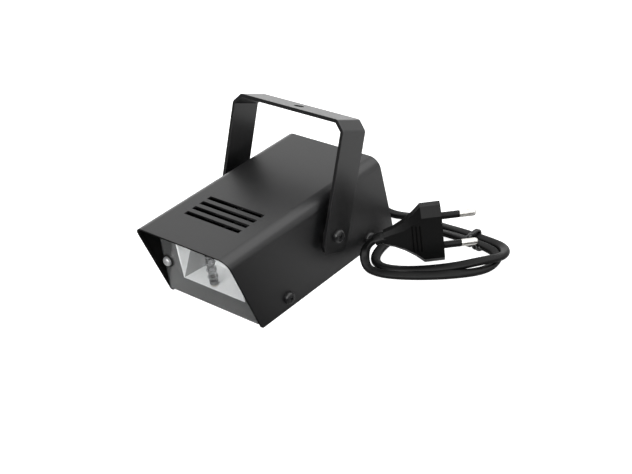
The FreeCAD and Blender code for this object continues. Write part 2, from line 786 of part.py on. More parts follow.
def make_gland():
    """Moulded strain relief: neck in the panel, collar outside, tapered ribbed boot."""
    root = gland_boot["root"] / 2
    tip = gland_boot["tip"] / 2
    collar = gland_collar["diameter"] / 2
    thickness = gland_collar["thickness"]
    inner_end = gland_inner_end()
    depth = gland_boot["rib_depth"]
    profile = [(0, inner_end), (gland_neck / 2, inner_end), (gland_neck / 2, 0), (collar, 0),
               (collar, thickness)]
    ribs = gland_boot["ribs"]
    pitch = (gland_boot_length - gland_socket) / ribs
    for i in range(ribs):
        here = thickness + i * pitch + pitch / 4
        radius = root + (tip - root) * i / ribs
        profile += [(radius - depth, here), (radius, here), (radius, here + pitch / 2),
                    (radius - depth, here + pitch / 2)]
    end = gland_reach()
    profile += [(tip - depth, end - gland_socket), (tip, end - gland_socket), (tip, end), (0, end)]
    gland = turned(profile, rear_point(gland_x, gland_z), rear_normal)
    inner = rear_point(gland_x, gland_z, inner_end)
    gland = gland.cut(cylinder(2 * core_diameter + 4 * core_gap, gland_tail + gland_socket, inner, rear_normal))
    return gland.cut(cylinder(lead_diameter, gland_socket, gland_end(), rear_normal))


def gland_inner_end():
    return -chassis_sheet - gland_nut["thickness"] - gland_tail


def gland_reach():
    """Tip of the boot, measured out from the rear panel."""
    return gland_collar["thickness"] + gland_boot_length


def gland_end():
    """Where the lead starts, inside the tip of the boot."""
    return rear_point(gland_x, gland_z, gland_reach() - gland_socket)


def make_gland_nut():
    foot = rear_point(gland_x, gland_z, -chassis_sheet - gland_nut["thickness"])
    bore = gland_neck + 2 * bore_fit
    nut = hexagon(gland_nut["across"], gland_nut["thickness"], foot, rear_normal)
    return nut.cut(cylinder(bore, gland_nut["thickness"], foot, rear_normal))


# ---------------------------------------------------------------- circuit board

def standoff_feet():
    for sx in (-1, 1):
        for sy in (-1, 1):
            yield V(sx * (board["width"] / 2 - board_hole_inset),
                    board_y + sy * (board["length"] / 2 - board_hole_inset), chassis_sheet)


def make_board():
    low = V(-board["width"] / 2, board_y - board["length"] / 2, board_top - board["thickness"])
    high = V(board["width"] / 2, board_y + board["length"] / 2, board_top)
    solid = box_between(low, high)
    for foot in standoff_feet():
        solid = solid.cut(cylinder(board_screw["shank"] + 2 * screw_clearance, 20, foot))
    return solid


def make_standoffs():
    solids = []
    for foot in standoff_feet():
        bore = board_screw["shank"] + 2 * screw_clearance
        post = hexagon(standoff["diameter"], standoff["height"], foot, AXIS_Z)
        solids.append(post.cut(cylinder(bore, standoff["height"], foot)))
    return Part.makeCompound(solids)


def make_board_screws():
    lift = AXIS_Z * (standoff["height"] + board["thickness"])
    return Part.makeCompound([plain_screw(board_screw, foot + lift, AXIS_Z) for foot in standoff_feet()])


def make_storage_capacitors():
    solids = []
    radius = storage["diameter"] / 2
    height = storage["height"]
    groove = storage["groove"]
    depth = storage["groove_depth"]
    rim = storage["rim"]
    for x, y in storage_places:
        profile = [(0, 0), (radius, 0), (radius, groove), (radius - depth, groove + depth),
                   (radius, groove + 2 * depth), (radius, height - rim), (radius - rim, height), (0, height)]
        solids.append(turned(profile, V(x, y, board_top), AXIS_Z))
    return Part.makeCompound(solids)


def block(part, height=None):
    """Box of a component that stands on the board, lightly rounded in plan."""
    half_x = part["length"] / 2
    half_y = part["width"] / 2
    corners = rectangle(part["x"] - half_x, part["x"] + half_x, part["y"] - half_y, part["y"] + half_y, 0.8)
    return plate(corners, lambda a, b: V(a, b, board_top), AXIS_Z * (height or part["height"]))


def make_transformer():
    """Trigger transformer: square base and head on a round winding."""
    half = transformer["size"] / 2
    x = transformer["x"]
    y = transformer["y"]
    cheek = transformer["cheek"]
    corners = rectangle(x - half, x + half, y - half, y + half, 1.0)
    solid = plate(corners, lambda a, b: V(a, b, board_top), AXIS_Z * cheek)
    upper = board_top + transformer["height"] - cheek
    solid = solid.fuse(plate(corners, lambda a, b: V(a, b, upper), AXIS_Z * cheek))
    return solid.fuse(cylinder(transformer["bobbin"], transformer["height"] - cheek, V(x, y, board_top)))


def make_thyristor():
    """Flat three-leg package with a drilled metal tab above it."""
    x = thyristor["x"]
    y = thyristor["y"]
    half = thyristor["width"] / 2
    foot = board_top + thyristor_leg["height"]
    top = foot + thyristor["height"]
    solid = box_between(V(x - half, y, foot), V(x + half, y + thyristor["thickness"], top))
    tab_top = top + thyristor_tab["rise"]
    tab = box_between(V(x - half, y, foot), V(x + half, y + thyristor_tab["thickness"], tab_top))
    hole_foot = V(x, y, top + thyristor_tab["rise"] / 2)
    tab = tab.cut(cylinder(thyristor_tab["hole"], thyristor_tab["thickness"], hole_foot, AXIS_Y))
    solid = solid.fuse(tab)
    wide = thyristor_leg["width"] / 2
    thick = thyristor_leg["thickness"]
    leg_y = y + thyristor["thickness"] / 2
    for i in (-1, 0, 1):
        leg_x = x + i * thyristor_leg["pitch"]
        low = V(leg_x - wide, leg_y, board_top)
        solid = solid.fuse(box_between(low, V(leg_x + wide, leg_y + thick, foot + thick)))
    return solid


def make_diodes():
    solids = []
    rise = diode["diameter"] / 2 + diode["lift"]
    for i in range(diode_count):
        x = diode_x + i * diode_pitch
        z = board_top + rise
        body = cylinder(diode["diameter"], diode["length"], V(x, diode_y - diode["length"] / 2, z), AXIS_Y)
        half = diode["span"] / 2
        wire = diode["wire"]
        front = V(x, diode_y - half, board_top)
        rear = V(x, diode_y + half, board_top)
        up = AXIS_Z * rise
        solids.append(body.fuse(wire_along([front, front + up, rear + up, rear], wire)))
    return Part.makeCompound(solids)


def make_resistor():
    return block(resistor)


def make_film_capacitor():
    return block(film_cap)


def fuse_axis_foot(offset):
    return V(fuse["x"] + offset, fuse["y"], board_top + fuse["lift"])


def make_fuse():
    """Glass fuse: barrel with two metal end caps."""
    length = fuse["length"]
    barrel = fuse["diameter"] / 2
    waist = barrel - fuse_cap_wall
    profile = [(0, 0), (barrel, 0), (barrel, fuse_cap), (waist, fuse_cap), (waist, length - fuse_cap),
               (barrel, length - fuse_cap), (barrel, length), (0, length)]
    return turned(profile, fuse_axis_foot(-length / 2), AXIS_X)


def make_fuse_clips():
    """Sprung U clips, open at the top, one under each end cap."""
    solids = []
    width = clip["width"]
    sheet = clip["sheet"]
    radius = fuse["diameter"] / 2 + clip["fit"]
    for side in (-1, 1):
        middle = side * (fuse["length"] - fuse_cap) / 2
        foot = fuse_axis_foot(middle - width / 2)
        shell = ring(2 * radius + 2 * sheet, 2 * radius, width, foot, AXIS_X)
        throat = radius - sheet
        shell = shell.cut(box_between(foot - AXIS_Y * throat, foot + V(width, throat, 2 * radius)))
        end = foot.x + width
        base = box_between(V(foot.x, foot.y - radius, board_top), V(end, foot.y + radius, board_top + sheet))
        stem = box_between(V(foot.x, foot.y - sheet, board_top), V(end, foot.y + sheet, foot.z - radius))
        stem = stem.cut(cylinder(2 * radius, width, foot, AXIS_X))
        solids.append(shell.fuse(base).fuse(stem))
    return Part.makeCompound(solids)


def terminal_ways():
    for offset in (-terminal["width"] / 4, terminal["width"] / 4):
        yield terminal["x"] + offset


def make_terminal():
    """Two-way screw terminal block, wire entries facing the rear."""
    half_x = terminal["width"] / 2
    half_y = terminal["length"] / 2
    y = terminal["y"]
    height = terminal["height"]
    bevel = height / 5
    profile = [(y - half_y, board_top), (y + half_y, board_top), (y + half_y, board_top + height - 2 * bevel),
               (y + half_y - bevel, board_top + height), (y - half_y + bevel, board_top + height),
               (y - half_y, board_top + height - bevel)]
    solid = plate(profile, lambda a, b: V(terminal["x"] - half_x, a, b), AXIS_X * terminal["width"])
    well = terminal_screw["depth"]
    for x in terminal_ways():
        entry = V(x, y + half_y, terminal_entry_z())
        solid = solid.cut(cylinder(core_diameter + 2 * entry_fit, entry_depth, entry, AXIS_Y * -1))
        solid = solid.cut(cylinder(terminal_screw["well"], well, V(x, y, board_top + height - well)))
    return solid


def terminal_entry_z():
    return board_top + terminal["height"] / 3


def make_terminal_screws():
    solids = []
    height = terminal_screw["height"]
    radius = terminal_screw["diameter"] / 2
    for x in terminal_ways():
        foot = V(x, terminal["y"], board_top + terminal["height"] - terminal_screw["depth"])
        screw = cylinder(2 * radius, height, foot)
        slit = box_between(foot + V(-radius, -radius / 5, height / 2), foot + V(radius, radius / 5, height))
        solids.append(screw.cut(slit))
    return Part.makeCompound(solids)


# ---------------------------------------------------------------- inner wiring

def make_mains_cores():
    """Two cores from the gland to the terminal block."""
    solids = []
    start_out = gland_inner_end() + gland_tail + gland_socket
    entry_z = terminal_entry_z()
    entry_y = terminal["y"] + terminal["length"] / 2 - entry_depth
    for x, side in zip(terminal_ways(), (-1, 1)):
        start = rear_point(gland_x + side * (core_diameter / 2 + core_gap), gland_z, start_out)
        clear = start - rear_normal * (start_out - gland_inner_end() + gland_tail)
        solids.append(wire_along([V(x, entry_y, entry_z), V(x, entry_y + core_run, entry_z), clear, start],
                                 core_diameter))
    return Part.makeCompound(solids)


def make_lamp_leads():
    """High-voltage leads from the tube's two pins to the front edge of the board."""
    low_pin = mouth_low - reflector_sheet - pin_reach
    high_pin = mouth_high + reflector_sheet + pin_reach
    behind = flange_back_y + reflector_depth + lead_drop
    pad_y = board_front() + pad_inset
    bow = board_top + lead_bow
    over = (high_pin + cover_inside) / 2
    upper = [V(0, tube_y, high_pin), V(0, tube_y, over), V(lead_spread / 2, behind, over),
             V(lead_spread, pad_y, bow), V(lead_spread, pad_y, board_top)]
    under = low_pin - lead_drop
    lower = [V(0, tube_y, low_pin), V(0, tube_y, under), V(lead_drop, tube_y + lead_drop, under - lead_drop),
             V(lead_drop, behind, under), V(-pad_inset, pad_y, bow), V(-pad_inset, pad_y, board_top)]
    return Part.makeCompound([wire_along(upper, thin_core), wire_along(lower, thin_core)])


def board_front():
    return board_y - board["length"] / 2


def make_trigger_lead():
    """Lead from the trigger electrode to the trigger transformer's base."""
    y = tube_y + trigger_offset()
    start = V(0, y, mouth_low - reflector_sheet - pin_reach)
    face = transformer["y"] - transformer["size"] / 2
    end = V(transformer["x"], face, board_top + transformer["cheek"] / 2)
    down = start - AXIS_Z * (2 * lead_drop)
    points = [start, down, V(transformer["x"] / 2, y + 2 * lead_drop, down.z),
              V(end.x, board_front() - 2 * lead_drop, down.z), V(end.x, board_front() - thin_core, end.z), end]
    return wire_along(points, thin_core)


def make_rate_leads():
    """Three leads from the potentiometer's lugs down to the board."""
    solids = []
    pad_y = board_y + board["length"] / 2 - pad_inset
    for i, lug in enumerate(lug_feet()):
        pad = V(rate_pads_x + (i - 1) * pot_lug["pitch"], pad_y, board_top)
        solids.append(wire_along([lug, lug - rear_up * lead_drop, pad + AXIS_Z * lead_drop, pad], thin_core))
    return Part.makeCompound(solids)


# ---------------------------------------------------------------- mains lead and plug

def make_lead():
    """Lead from the gland down to the surface and along to the turns."""
    start = gland_end()
    z = stand_clear
    points = [start, start + rear_normal * 9, V(-21.6, 88.6, 14.2), V(-13.8, 94, 10.8), V(-4.6, 93, 6.8),
              V(2.6, 87.2, 3.4), V(7.4, 79.6, z), V(12.2, 72.4, z), V(20, 67.4, z), V(29.4, 66.8, z + 0.2),
              join_out() - join_heading * 9.6, join_out()]
    return tube_along(points, lead_diameter, "lead")


def join_out():
    """Where the lead runs into the turns, behind the right rear corner of the case."""
    return V(48, 70.2, stand_clear + coil_lift)


def coil_stub():
    """First stretch of the lead beside the turns, made with them."""
    points = [join_out(), join_out() + join_heading * 10, join_out() + V(22, 0.2, 0)]
    return tube_along(points, lead_diameter)


def coil_corners():
    """Middle line of the two turns, seen from above."""
    return [(57, 65.2), (74, 67.6), (91, 67.2), (103, 64.8), (108.8, 56), (104.5, 46), (92.5, 35.2), (77, 24.8),
            (63, 17.6), (51, 17.2), (43.6, 26), (42.6, 42), (46.8, 56)]


def coil_loop(shift):
    """Rounded closed outline of the turns, moved outward by a distance."""
    points = [V(x, y, 0) for x, y in coil_corners()]
    count = len(points)
    corners = []
    for i, here in enumerate(points):
        into = (here - points[i - 1]).normalize()
        out = (points[(i + 1) % count] - here).normalize()
        side = V(-into.y, into.x, 0) + V(-out.y, out.x, 0)
        side = side * (2 * shift / side.dot(side))
        run = min((here - points[i - 1]).Length, (points[(i + 1) % count] - here).Length)
        half_turn = into.getAngle(out) / 2
        turn_way = into.x * out.y - into.y * out.x
        radius = 0.45 * run / math.tan(half_turn)
        grown = radius + shift if turn_way < 0 else radius - shift
        corners.append((here.x + side.x, here.y + side.y, grown))
    return corners


def make_coil():
    """Outer shape of the two turns that lie side by side, with bevelled edges."""
    low = coil_lift
    outer = plate(coil_loop(coil_width / 2), lambda a, b: V(a, b, low), AXIS_Z * coil_height)
    inner = plate(coil_loop(-coil_width / 2), lambda a, b: V(a, b, low), AXIS_Z * coil_height)
    solid = outer.cut(inner)
    rims = [e for e in solid.Edges if abs(e.BoundBox.ZMax - e.BoundBox.ZMin) < 1e-6]
    solid = solid.makeChamfer(coil_edge, rims)
    return solid.fuse(coil_stub())


def make_tail():
    """Lead from the turns up into the plug's neck."""
    top = coil_lift + coil_height
    neck = plug_tail + plug_axis * plug_socket
    points = [neck, plug_tail - plug_axis * 3.5, V(46.6, 18.4, 13.6), V(47.4, 14.8, 8.2), V(50.6, 13.6, 3.0)]
    tube = tube_along(points, lead_diameter, "tail")
    under = box_between(V(0, 0, 0), V(2 * plug_face.x, 2 * plug_face.y, top))
    return tube.cut(under)


def plug_point(back, side, z):
    """Point of the plug: back from the pin face, sideways, and its height."""
    return plug_face - plug_axis * back + plug_side * side + AXIS_Z * z


def plug_section(back, width, thickness, chamfer):
    """Eight-sided section of the plug, standing upright."""
    middle = plug_width / 2
    half = width / 2
    flat = thickness / 2
    side = half - chamfer
    edge = flat - chamfer
    corners = [(-flat, -side), (-edge, -half), (edge, -half), (flat, -side),
               (flat, side), (edge, half), (-edge, half), (-flat, side)]
    points = [plug_point(back, a, middle + b) for a, b in corners]
    return Part.makePolygon(points + points[:1])


def make_plug():
    """Flat plug body: eight-sided block, waisted grip and round-edged neck."""
    neck = plug_neck["width"]
    thin = plug_neck["thickness"]
    stations = [(0, plug_width, plug_thickness, plug_chamfer),
                (plug_block, plug_width, plug_thickness, plug_chamfer),
                (plug_block + 4.5, plug_width * 0.74, plug_thickness * 0.9, plug_chamfer * 0.85),
                (plug_block + 10.0, plug_width * 0.5, plug_thickness * 0.78, plug_chamfer * 0.7),
                (plug_block + 15.5, plug_width * 0.33, thin * 1.1, thin * 0.3),
                (plug_length, neck, thin, thin * 0.28)]
    body = Part.makeLoft([plug_section(*s) for s in stations], True, True)
    for i in range(plug_groove["count"]):
        body = body.cut(groove_pair(plug_groove["first"] + i * plug_groove["pitch"], stations))
    body = body.cut(cylinder(lead_diameter, plug_socket, plug_tail, plug_axis))
    for z in pin_heights():
        foot = plug_point(2.0, 0, z)
        body = body.cut(cylinder(pin["diameter"], 3, foot, plug_axis))
    return body


def groove_pair(back, stations):
    """Upright finger grooves across both faces of the grip, at a distance back from the pin face."""
    wide = plug_groove["width"] / 2
    half = plug_groove["length"] / 2
    for near, far in zip(stations, stations[1:]):
        if near[0] <= back <= far[0]:
            share = (back - near[0]) / (far[0] - near[0])
            floor = (near[2] + share * (far[2] - near[2])) / 2 - plug_groove["depth"]
    cuts = []
    for way in (-1, 1):
        corners = [plug_point(back + a, way * b, plug_width / 2 - half)
                   for a, b in ((-wide, floor + wide), (0, floor), (wide, floor + wide), (wide, plug_thickness),
                                (-wide, plug_thickness), (-wide, floor + wide))]
        cuts.append(Part.Face(Part.makePolygon(corners)).extrude(AXIS_Z * (2 * half)))
    return Part.makeCompound(cuts)


def pin_heights():
    for way in (-1, 1):
        yield plug_width / 2 + way * pin_spacing / 2


def make_plug_pins():
    """Solid pins, reduced where the sleeves cover them, with rounded tips."""
    solids = []
    full = pin["diameter"] / 2
    core = full - pin["wall"]
    for z in pin_heights():
        tip = pin["length"]
        profile = [(0, -2), (core, -2), (core, pin["sleeve"]), (full, pin["sleeve"]), (full, tip - 1.6),
                   (full * 0.8, tip - 0.5), (full * 0.45, tip), (0, tip)]
        solids.append(turned(profile, plug_point(0, 0, z), plug_axis))
    return Part.makeCompound(solids)


def make_plug_sleeves():
    solids = []
    for z in pin_heights():
        solids.append(ring(pin["diameter"], pin["diameter"] - 2 * pin["wall"], pin["sleeve"] + 2,
                           plug_point(2, 0, z), plug_axis))
    return Part.makeCompound(solids)


def make_tie():
    """Flat wire tie round the two turns."""
    inner_w = coil_width + 2 * tie_fit
    inner_h = coil_height + 2 * tie_fit
    low = coil_lift - tie_fit
    y0 = tie_y - inner_w / 2
    y1 = tie_y + inner_w / 2
    corner = coil_edge * 0.8
    inner = rectangle(y0, y1, low, low + inner_h, corner)
    grow = tie_thickness
    outer = rectangle(y0 - grow, y1 + grow, low - grow, low + inner_h + grow, corner + grow)
    solid = plate(outer, lambda a, b: V(tie_x, a, b), AXIS_X * tie_width)
    return solid.cut(plate(inner, lambda a, b: V(tie_x, a, b), AXIS_X * tie_width))


# ---------------------------------------------------------------- output

NODES = {
    "cover": make_cover,
    "base_chassis": make_chassis,
    "window": make_window,
    "window_washers": make_window_washers,
    "window_screws": make_window_screws,
    "reflector": make_reflector,
    "reflector_grommets": make_grommets,
    "xenon_tube": make_tube,
    "tube_end_caps": make_end_caps,
    "trigger_coil": make_trigger_coil,
    "cover_screws": make_cover_screws,
    "bracket": make_bracket,
    "pivot_spacers": make_pivot_spacers,
    "pivot_screws": make_pivot_screws,
    "pivot_nuts": make_pivot_nuts,
    "potentiometer": make_potentiometer,
    "pot_washer": make_pot_washer,
    "pot_nut": make_pot_nut,
    "pot_shaft": make_pot_shaft,
    "rate_knob": make_knob,
    "knob_pointer": make_knob_pointer,
    "cord_gland": make_gland,
    "gland_nut": make_gland_nut,
    "circuit_board": make_board,
    "board_standoffs": make_standoffs,
    "board_screws": make_board_screws,
    "storage_capacitors": make_storage_capacitors,
    "film_capacitor": make_film_capacitor,
    "trigger_transformer": make_transformer,
    "thyristor": make_thyristor,
    "rectifier_diodes": make_diodes,
    "charging_resistor": make_resistor,
    "fuse": make_fuse,
    "fuse_clips": make_fuse_clips,
    "terminal_block": make_terminal,
    "terminal_screws": make_terminal_screws,
    "mains_cores": make_mains_cores,
    "lamp_leads": make_lamp_leads,
    "trigger_lead": make_trigger_lead,
    "rate_leads": make_rate_leads,
    "cord_lead": make_lead,
    "cord_coil": make_coil,
    "cord_tail": make_tail,
    "cord_tie": make_tie,
    "plug_body": make_plug,
    "plug_sleeves": make_plug_sleeves,
    "plug_pins": make_plug_pins,
}

os.makedirs("parts", exist_ok=True)
for name, make in NODES.items():
    make().exportStep("parts/" + name + ".step")
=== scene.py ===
import bmesh
import bpy
import json
import math
from mathutils import Matrix, Vector


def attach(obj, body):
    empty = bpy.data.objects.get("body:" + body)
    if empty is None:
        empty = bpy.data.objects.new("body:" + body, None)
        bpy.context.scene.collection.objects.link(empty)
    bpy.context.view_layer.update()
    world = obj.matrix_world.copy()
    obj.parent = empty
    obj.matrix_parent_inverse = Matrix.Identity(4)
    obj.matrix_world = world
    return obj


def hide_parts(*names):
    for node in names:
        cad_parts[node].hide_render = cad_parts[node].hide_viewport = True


# A small xenon stroboscope: folded black steel case, strip bracket, flash window and tied mains lead.
# Metres, +Z up, the lamp faces -Y. Sizes written in millimetres pass through mm().

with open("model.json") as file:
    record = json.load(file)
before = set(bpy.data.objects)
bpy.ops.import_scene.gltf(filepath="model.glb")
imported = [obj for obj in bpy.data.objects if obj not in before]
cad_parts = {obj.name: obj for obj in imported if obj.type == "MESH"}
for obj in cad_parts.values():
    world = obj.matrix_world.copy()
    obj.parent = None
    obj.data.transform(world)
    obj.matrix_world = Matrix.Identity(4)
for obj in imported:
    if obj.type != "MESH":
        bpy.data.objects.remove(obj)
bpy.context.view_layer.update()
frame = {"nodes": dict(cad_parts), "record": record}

CREASE = math.radians(32)


# ---------------------------------------------------------------- small helpers

def mm(*values):
    scaled = tuple(v / 1000 for v in values)
    return scaled[0] if len(scaled) == 1 else scaled


def colour(text, alpha=1.0):
    """Linear colour from an sRGB hex value."""
    linear = []
    for i in (1, 3, 5):
        c = int(text[i:i + 2], 16) / 255
        linear.append(c / 12.92 if c <= 0.04045 else ((c + 0.055) / 1.055) ** 2.4)
    return (*linear, alpha)


def add(tree, kind, settings=None, links=None):
    """One node: settings are attributes or sockets by name or number, links are sockets that feed it."""
    node = tree.nodes.new(kind)
    for key, value in (settings or {}).items():
        if isinstance(key, str) and hasattr(node, key):
            setattr(node, key, value)
        else:
            node.inputs[key].default_value = value
    for key, source in (links or {}).items():
        tree.links.new(source, node.inputs[key])
    return node


def new_object(name, data):
    piece = bpy.data.objects.new(name, data)
    bpy.context.scene.collection.objects.link(piece)
    return piece


def plain_mesh(piece, name):
    """The piece with its modifiers worked out, as a mesh object of its own; the old object goes."""
    bpy.context.view_layer.update()
    evaluated = piece.evaluated_get(bpy.context.evaluated_depsgraph_get())
    mesh = bpy.data.meshes.new_from_object(evaluated)
    mesh.name = name
    bpy.data.objects.remove(piece)
    return new_object(name, mesh)


def smooth_line(name, places, tilts=None):
    """Curve that runs smoothly along places in millimetres, with a tilt in radians at each where given."""
    line = bpy.data.curves.new(name, "CURVE")
    line.dimensions = "3D"
    line.resolution_u = 10
    spline = line.splines.new("NURBS")
    spline.points.add(len(places) - 1)
    for i, (point, place) in enumerate(zip(spline.points, places)):
        point.co = (*mm(*place), 1)
        if tilts:
            point.tilt = tilts[i]
    spline.order_u = 3
    spline.use_endpoint_u = True
    return line


def face_outward(mesh, *extra):
    """Turns every face of the mesh outwards, after joining the extra meshes to it."""
    shape = bmesh.new()
    for part in (mesh, *extra):
        shape.from_mesh(part)
    bmesh.ops.recalc_face_normals(shape, faces=shape.faces)
    shape.to_mesh(mesh)
    shape.free()


def geometry_tree(name, inputs):
    """Empty geometry tree with named inputs (name, socket type, value)."""
    tree = bpy.data.node_groups.new(name, "GeometryNodeTree")
    tree.interface.new_socket("Geometry", in_out="INPUT", socket_type="NodeSocketGeometry")
    for label, kind, value in inputs:
        socket = tree.interface.new_socket(label, in_out="INPUT", socket_type=kind)
        if value is not None:
            socket.default_value = value
    tree.interface.new_socket("Geometry", in_out="OUTPUT", socket_type="NodeSocketGeometry")
    entry = tree.nodes.new("NodeGroupInput")
    return tree, entry.outputs


def crisp_shading(tree, geometry):
    """Smooth shading that stays sharp where faces meet at more than the crease angle."""
    fold = add(tree, "GeometryNodeInputMeshEdgeAngle")
    crisp = add(tree, "FunctionNodeCompare", {"data_type": "FLOAT", "operation": "GREATER_THAN", 1: CREASE},
                {0: fold.outputs[0]})
    smooth = add(tree, "GeometryNodeSetShadeSmooth", {"domain": "FACE"}, {0: geometry})
    return add(tree, "GeometryNodeSetShadeSmooth", {"domain": "EDGE", "Shade Smooth": False},
               {0: smooth.outputs[0], "Selection": crisp.outputs[0]})


def close_tree(tree, geometry, finish):
    """Realize, give the finish and hand out."""
    real = add(tree, "GeometryNodeRealizeInstances", links={0: geometry})
    dressed = add(tree, "GeometryNodeSetMaterial", links={"Geometry": real.outputs[0], "Material": finish})
    add(tree, "NodeGroupOutput", links={0: dressed.outputs[0]})


def grown(piece, tree, name, **inputs):
    """Runs a geometry tree on a piece with its inputs set by name and returns the plain mesh."""
    modifier = piece.modifiers.new(tree.name, "NODES")
    modifier.node_group = tree
    for socket in tree.interface.items_tree:
        if socket.item_type == "SOCKET" and socket.in_out == "INPUT" and socket.name in inputs:
            modifier[socket.identifier] = inputs[socket.name]
    return plain_mesh(piece, name)


# ---------------------------------------------------------------- materials

def shader_start(name):
    finish = bpy.data.materials.new(name)
    finish.use_nodes = True
    tree = finish.node_tree
    tree.nodes.clear()
    return finish, tree


def surface(name, dark, light, roughness, spread, grain_mm, depth_mm, patch_mm=18, metallic=0.0, ior=1.5,
            stretch=(1, 1, 1), level=0.5):
    """Opaque finish: two close colours in soft patches, roughness that follows them, and a fine relief."""
    finish, tree = shader_start(name)
    place = add(tree, "ShaderNodeTexCoord").outputs["Object"]
    drawn = add(tree, "ShaderNodeMapping", {"Scale": stretch}, {"Vector": place}).outputs[0]
    patches = add(tree, "ShaderNodeTexNoise", {"Scale": 1000 / patch_mm, "Detail": 3.0}, {"Vector": place})
    grain = add(tree, "ShaderNodeTexNoise", {"Scale": 1000 / grain_mm, "Detail": 4.0}, {"Vector": drawn})
    tone = add(tree, "ShaderNodeMix", {"data_type": "RGBA", 6: colour(dark), 7: colour(light)},
               {0: patches.outputs["Fac"]})
    rough = add(tree, "ShaderNodeMapRange", {"To Min": roughness - spread, "To Max": roughness + spread},
                {"Value": grain.outputs["Fac"]})
    relief = add(tree, "ShaderNodeBump", {"Strength": 0.6, "Distance": mm(depth_mm)}, {"Height": grain.outputs["Fac"]})
    shader = add(tree, "ShaderNodeBsdfPrincipled", {"Metallic": metallic, "Specular IOR Level": level},
                 {"Base Color": tone.outputs[2], "Roughness": rough.outputs[0], "Normal": relief.outputs[0]})
    if metallic == 0:
        shader.inputs["IOR"].default_value = ior
    add(tree, "ShaderNodeOutputMaterial", links={"Surface": shader.outputs[0]})
    return finish


def clear(name, tint, roughness, ior, patch_mm, level=0.5):
    """See-through finish that lets lamplight pass, with faint haze in patches."""
    finish, tree = shader_start(name)
    place = add(tree, "ShaderNodeTexCoord").outputs["Object"]
    haze = add(tree, "ShaderNodeTexNoise", {"Scale": 1000 / patch_mm, "Detail": 2.0}, {"Vector": place})
    rough = add(tree, "ShaderNodeMapRange", {"To Min": 0.0, "To Max": 2 * roughness}, {"Value": haze.outputs["Fac"]})
    glass = add(tree, "ShaderNodeBsdfPrincipled",
                {"Base Color": colour(tint), "Transmission Weight": 1.0, "IOR": ior, "Specular IOR Level": level},
                {"Roughness": rough.outputs[0]})
    through = add(tree, "ShaderNodeBsdfTransparent", {"Color": colour(tint)})
    rays = add(tree, "ShaderNodeLightPath")
    mixed = add(tree, "ShaderNodeMixShader", links={0: rays.outputs["Is Shadow Ray"], 1: glass.outputs[0],
                                                    2: through.outputs[0]})
    add(tree, "ShaderNodeOutputMaterial", links={"Surface": mixed.outputs[0]})
    return finish


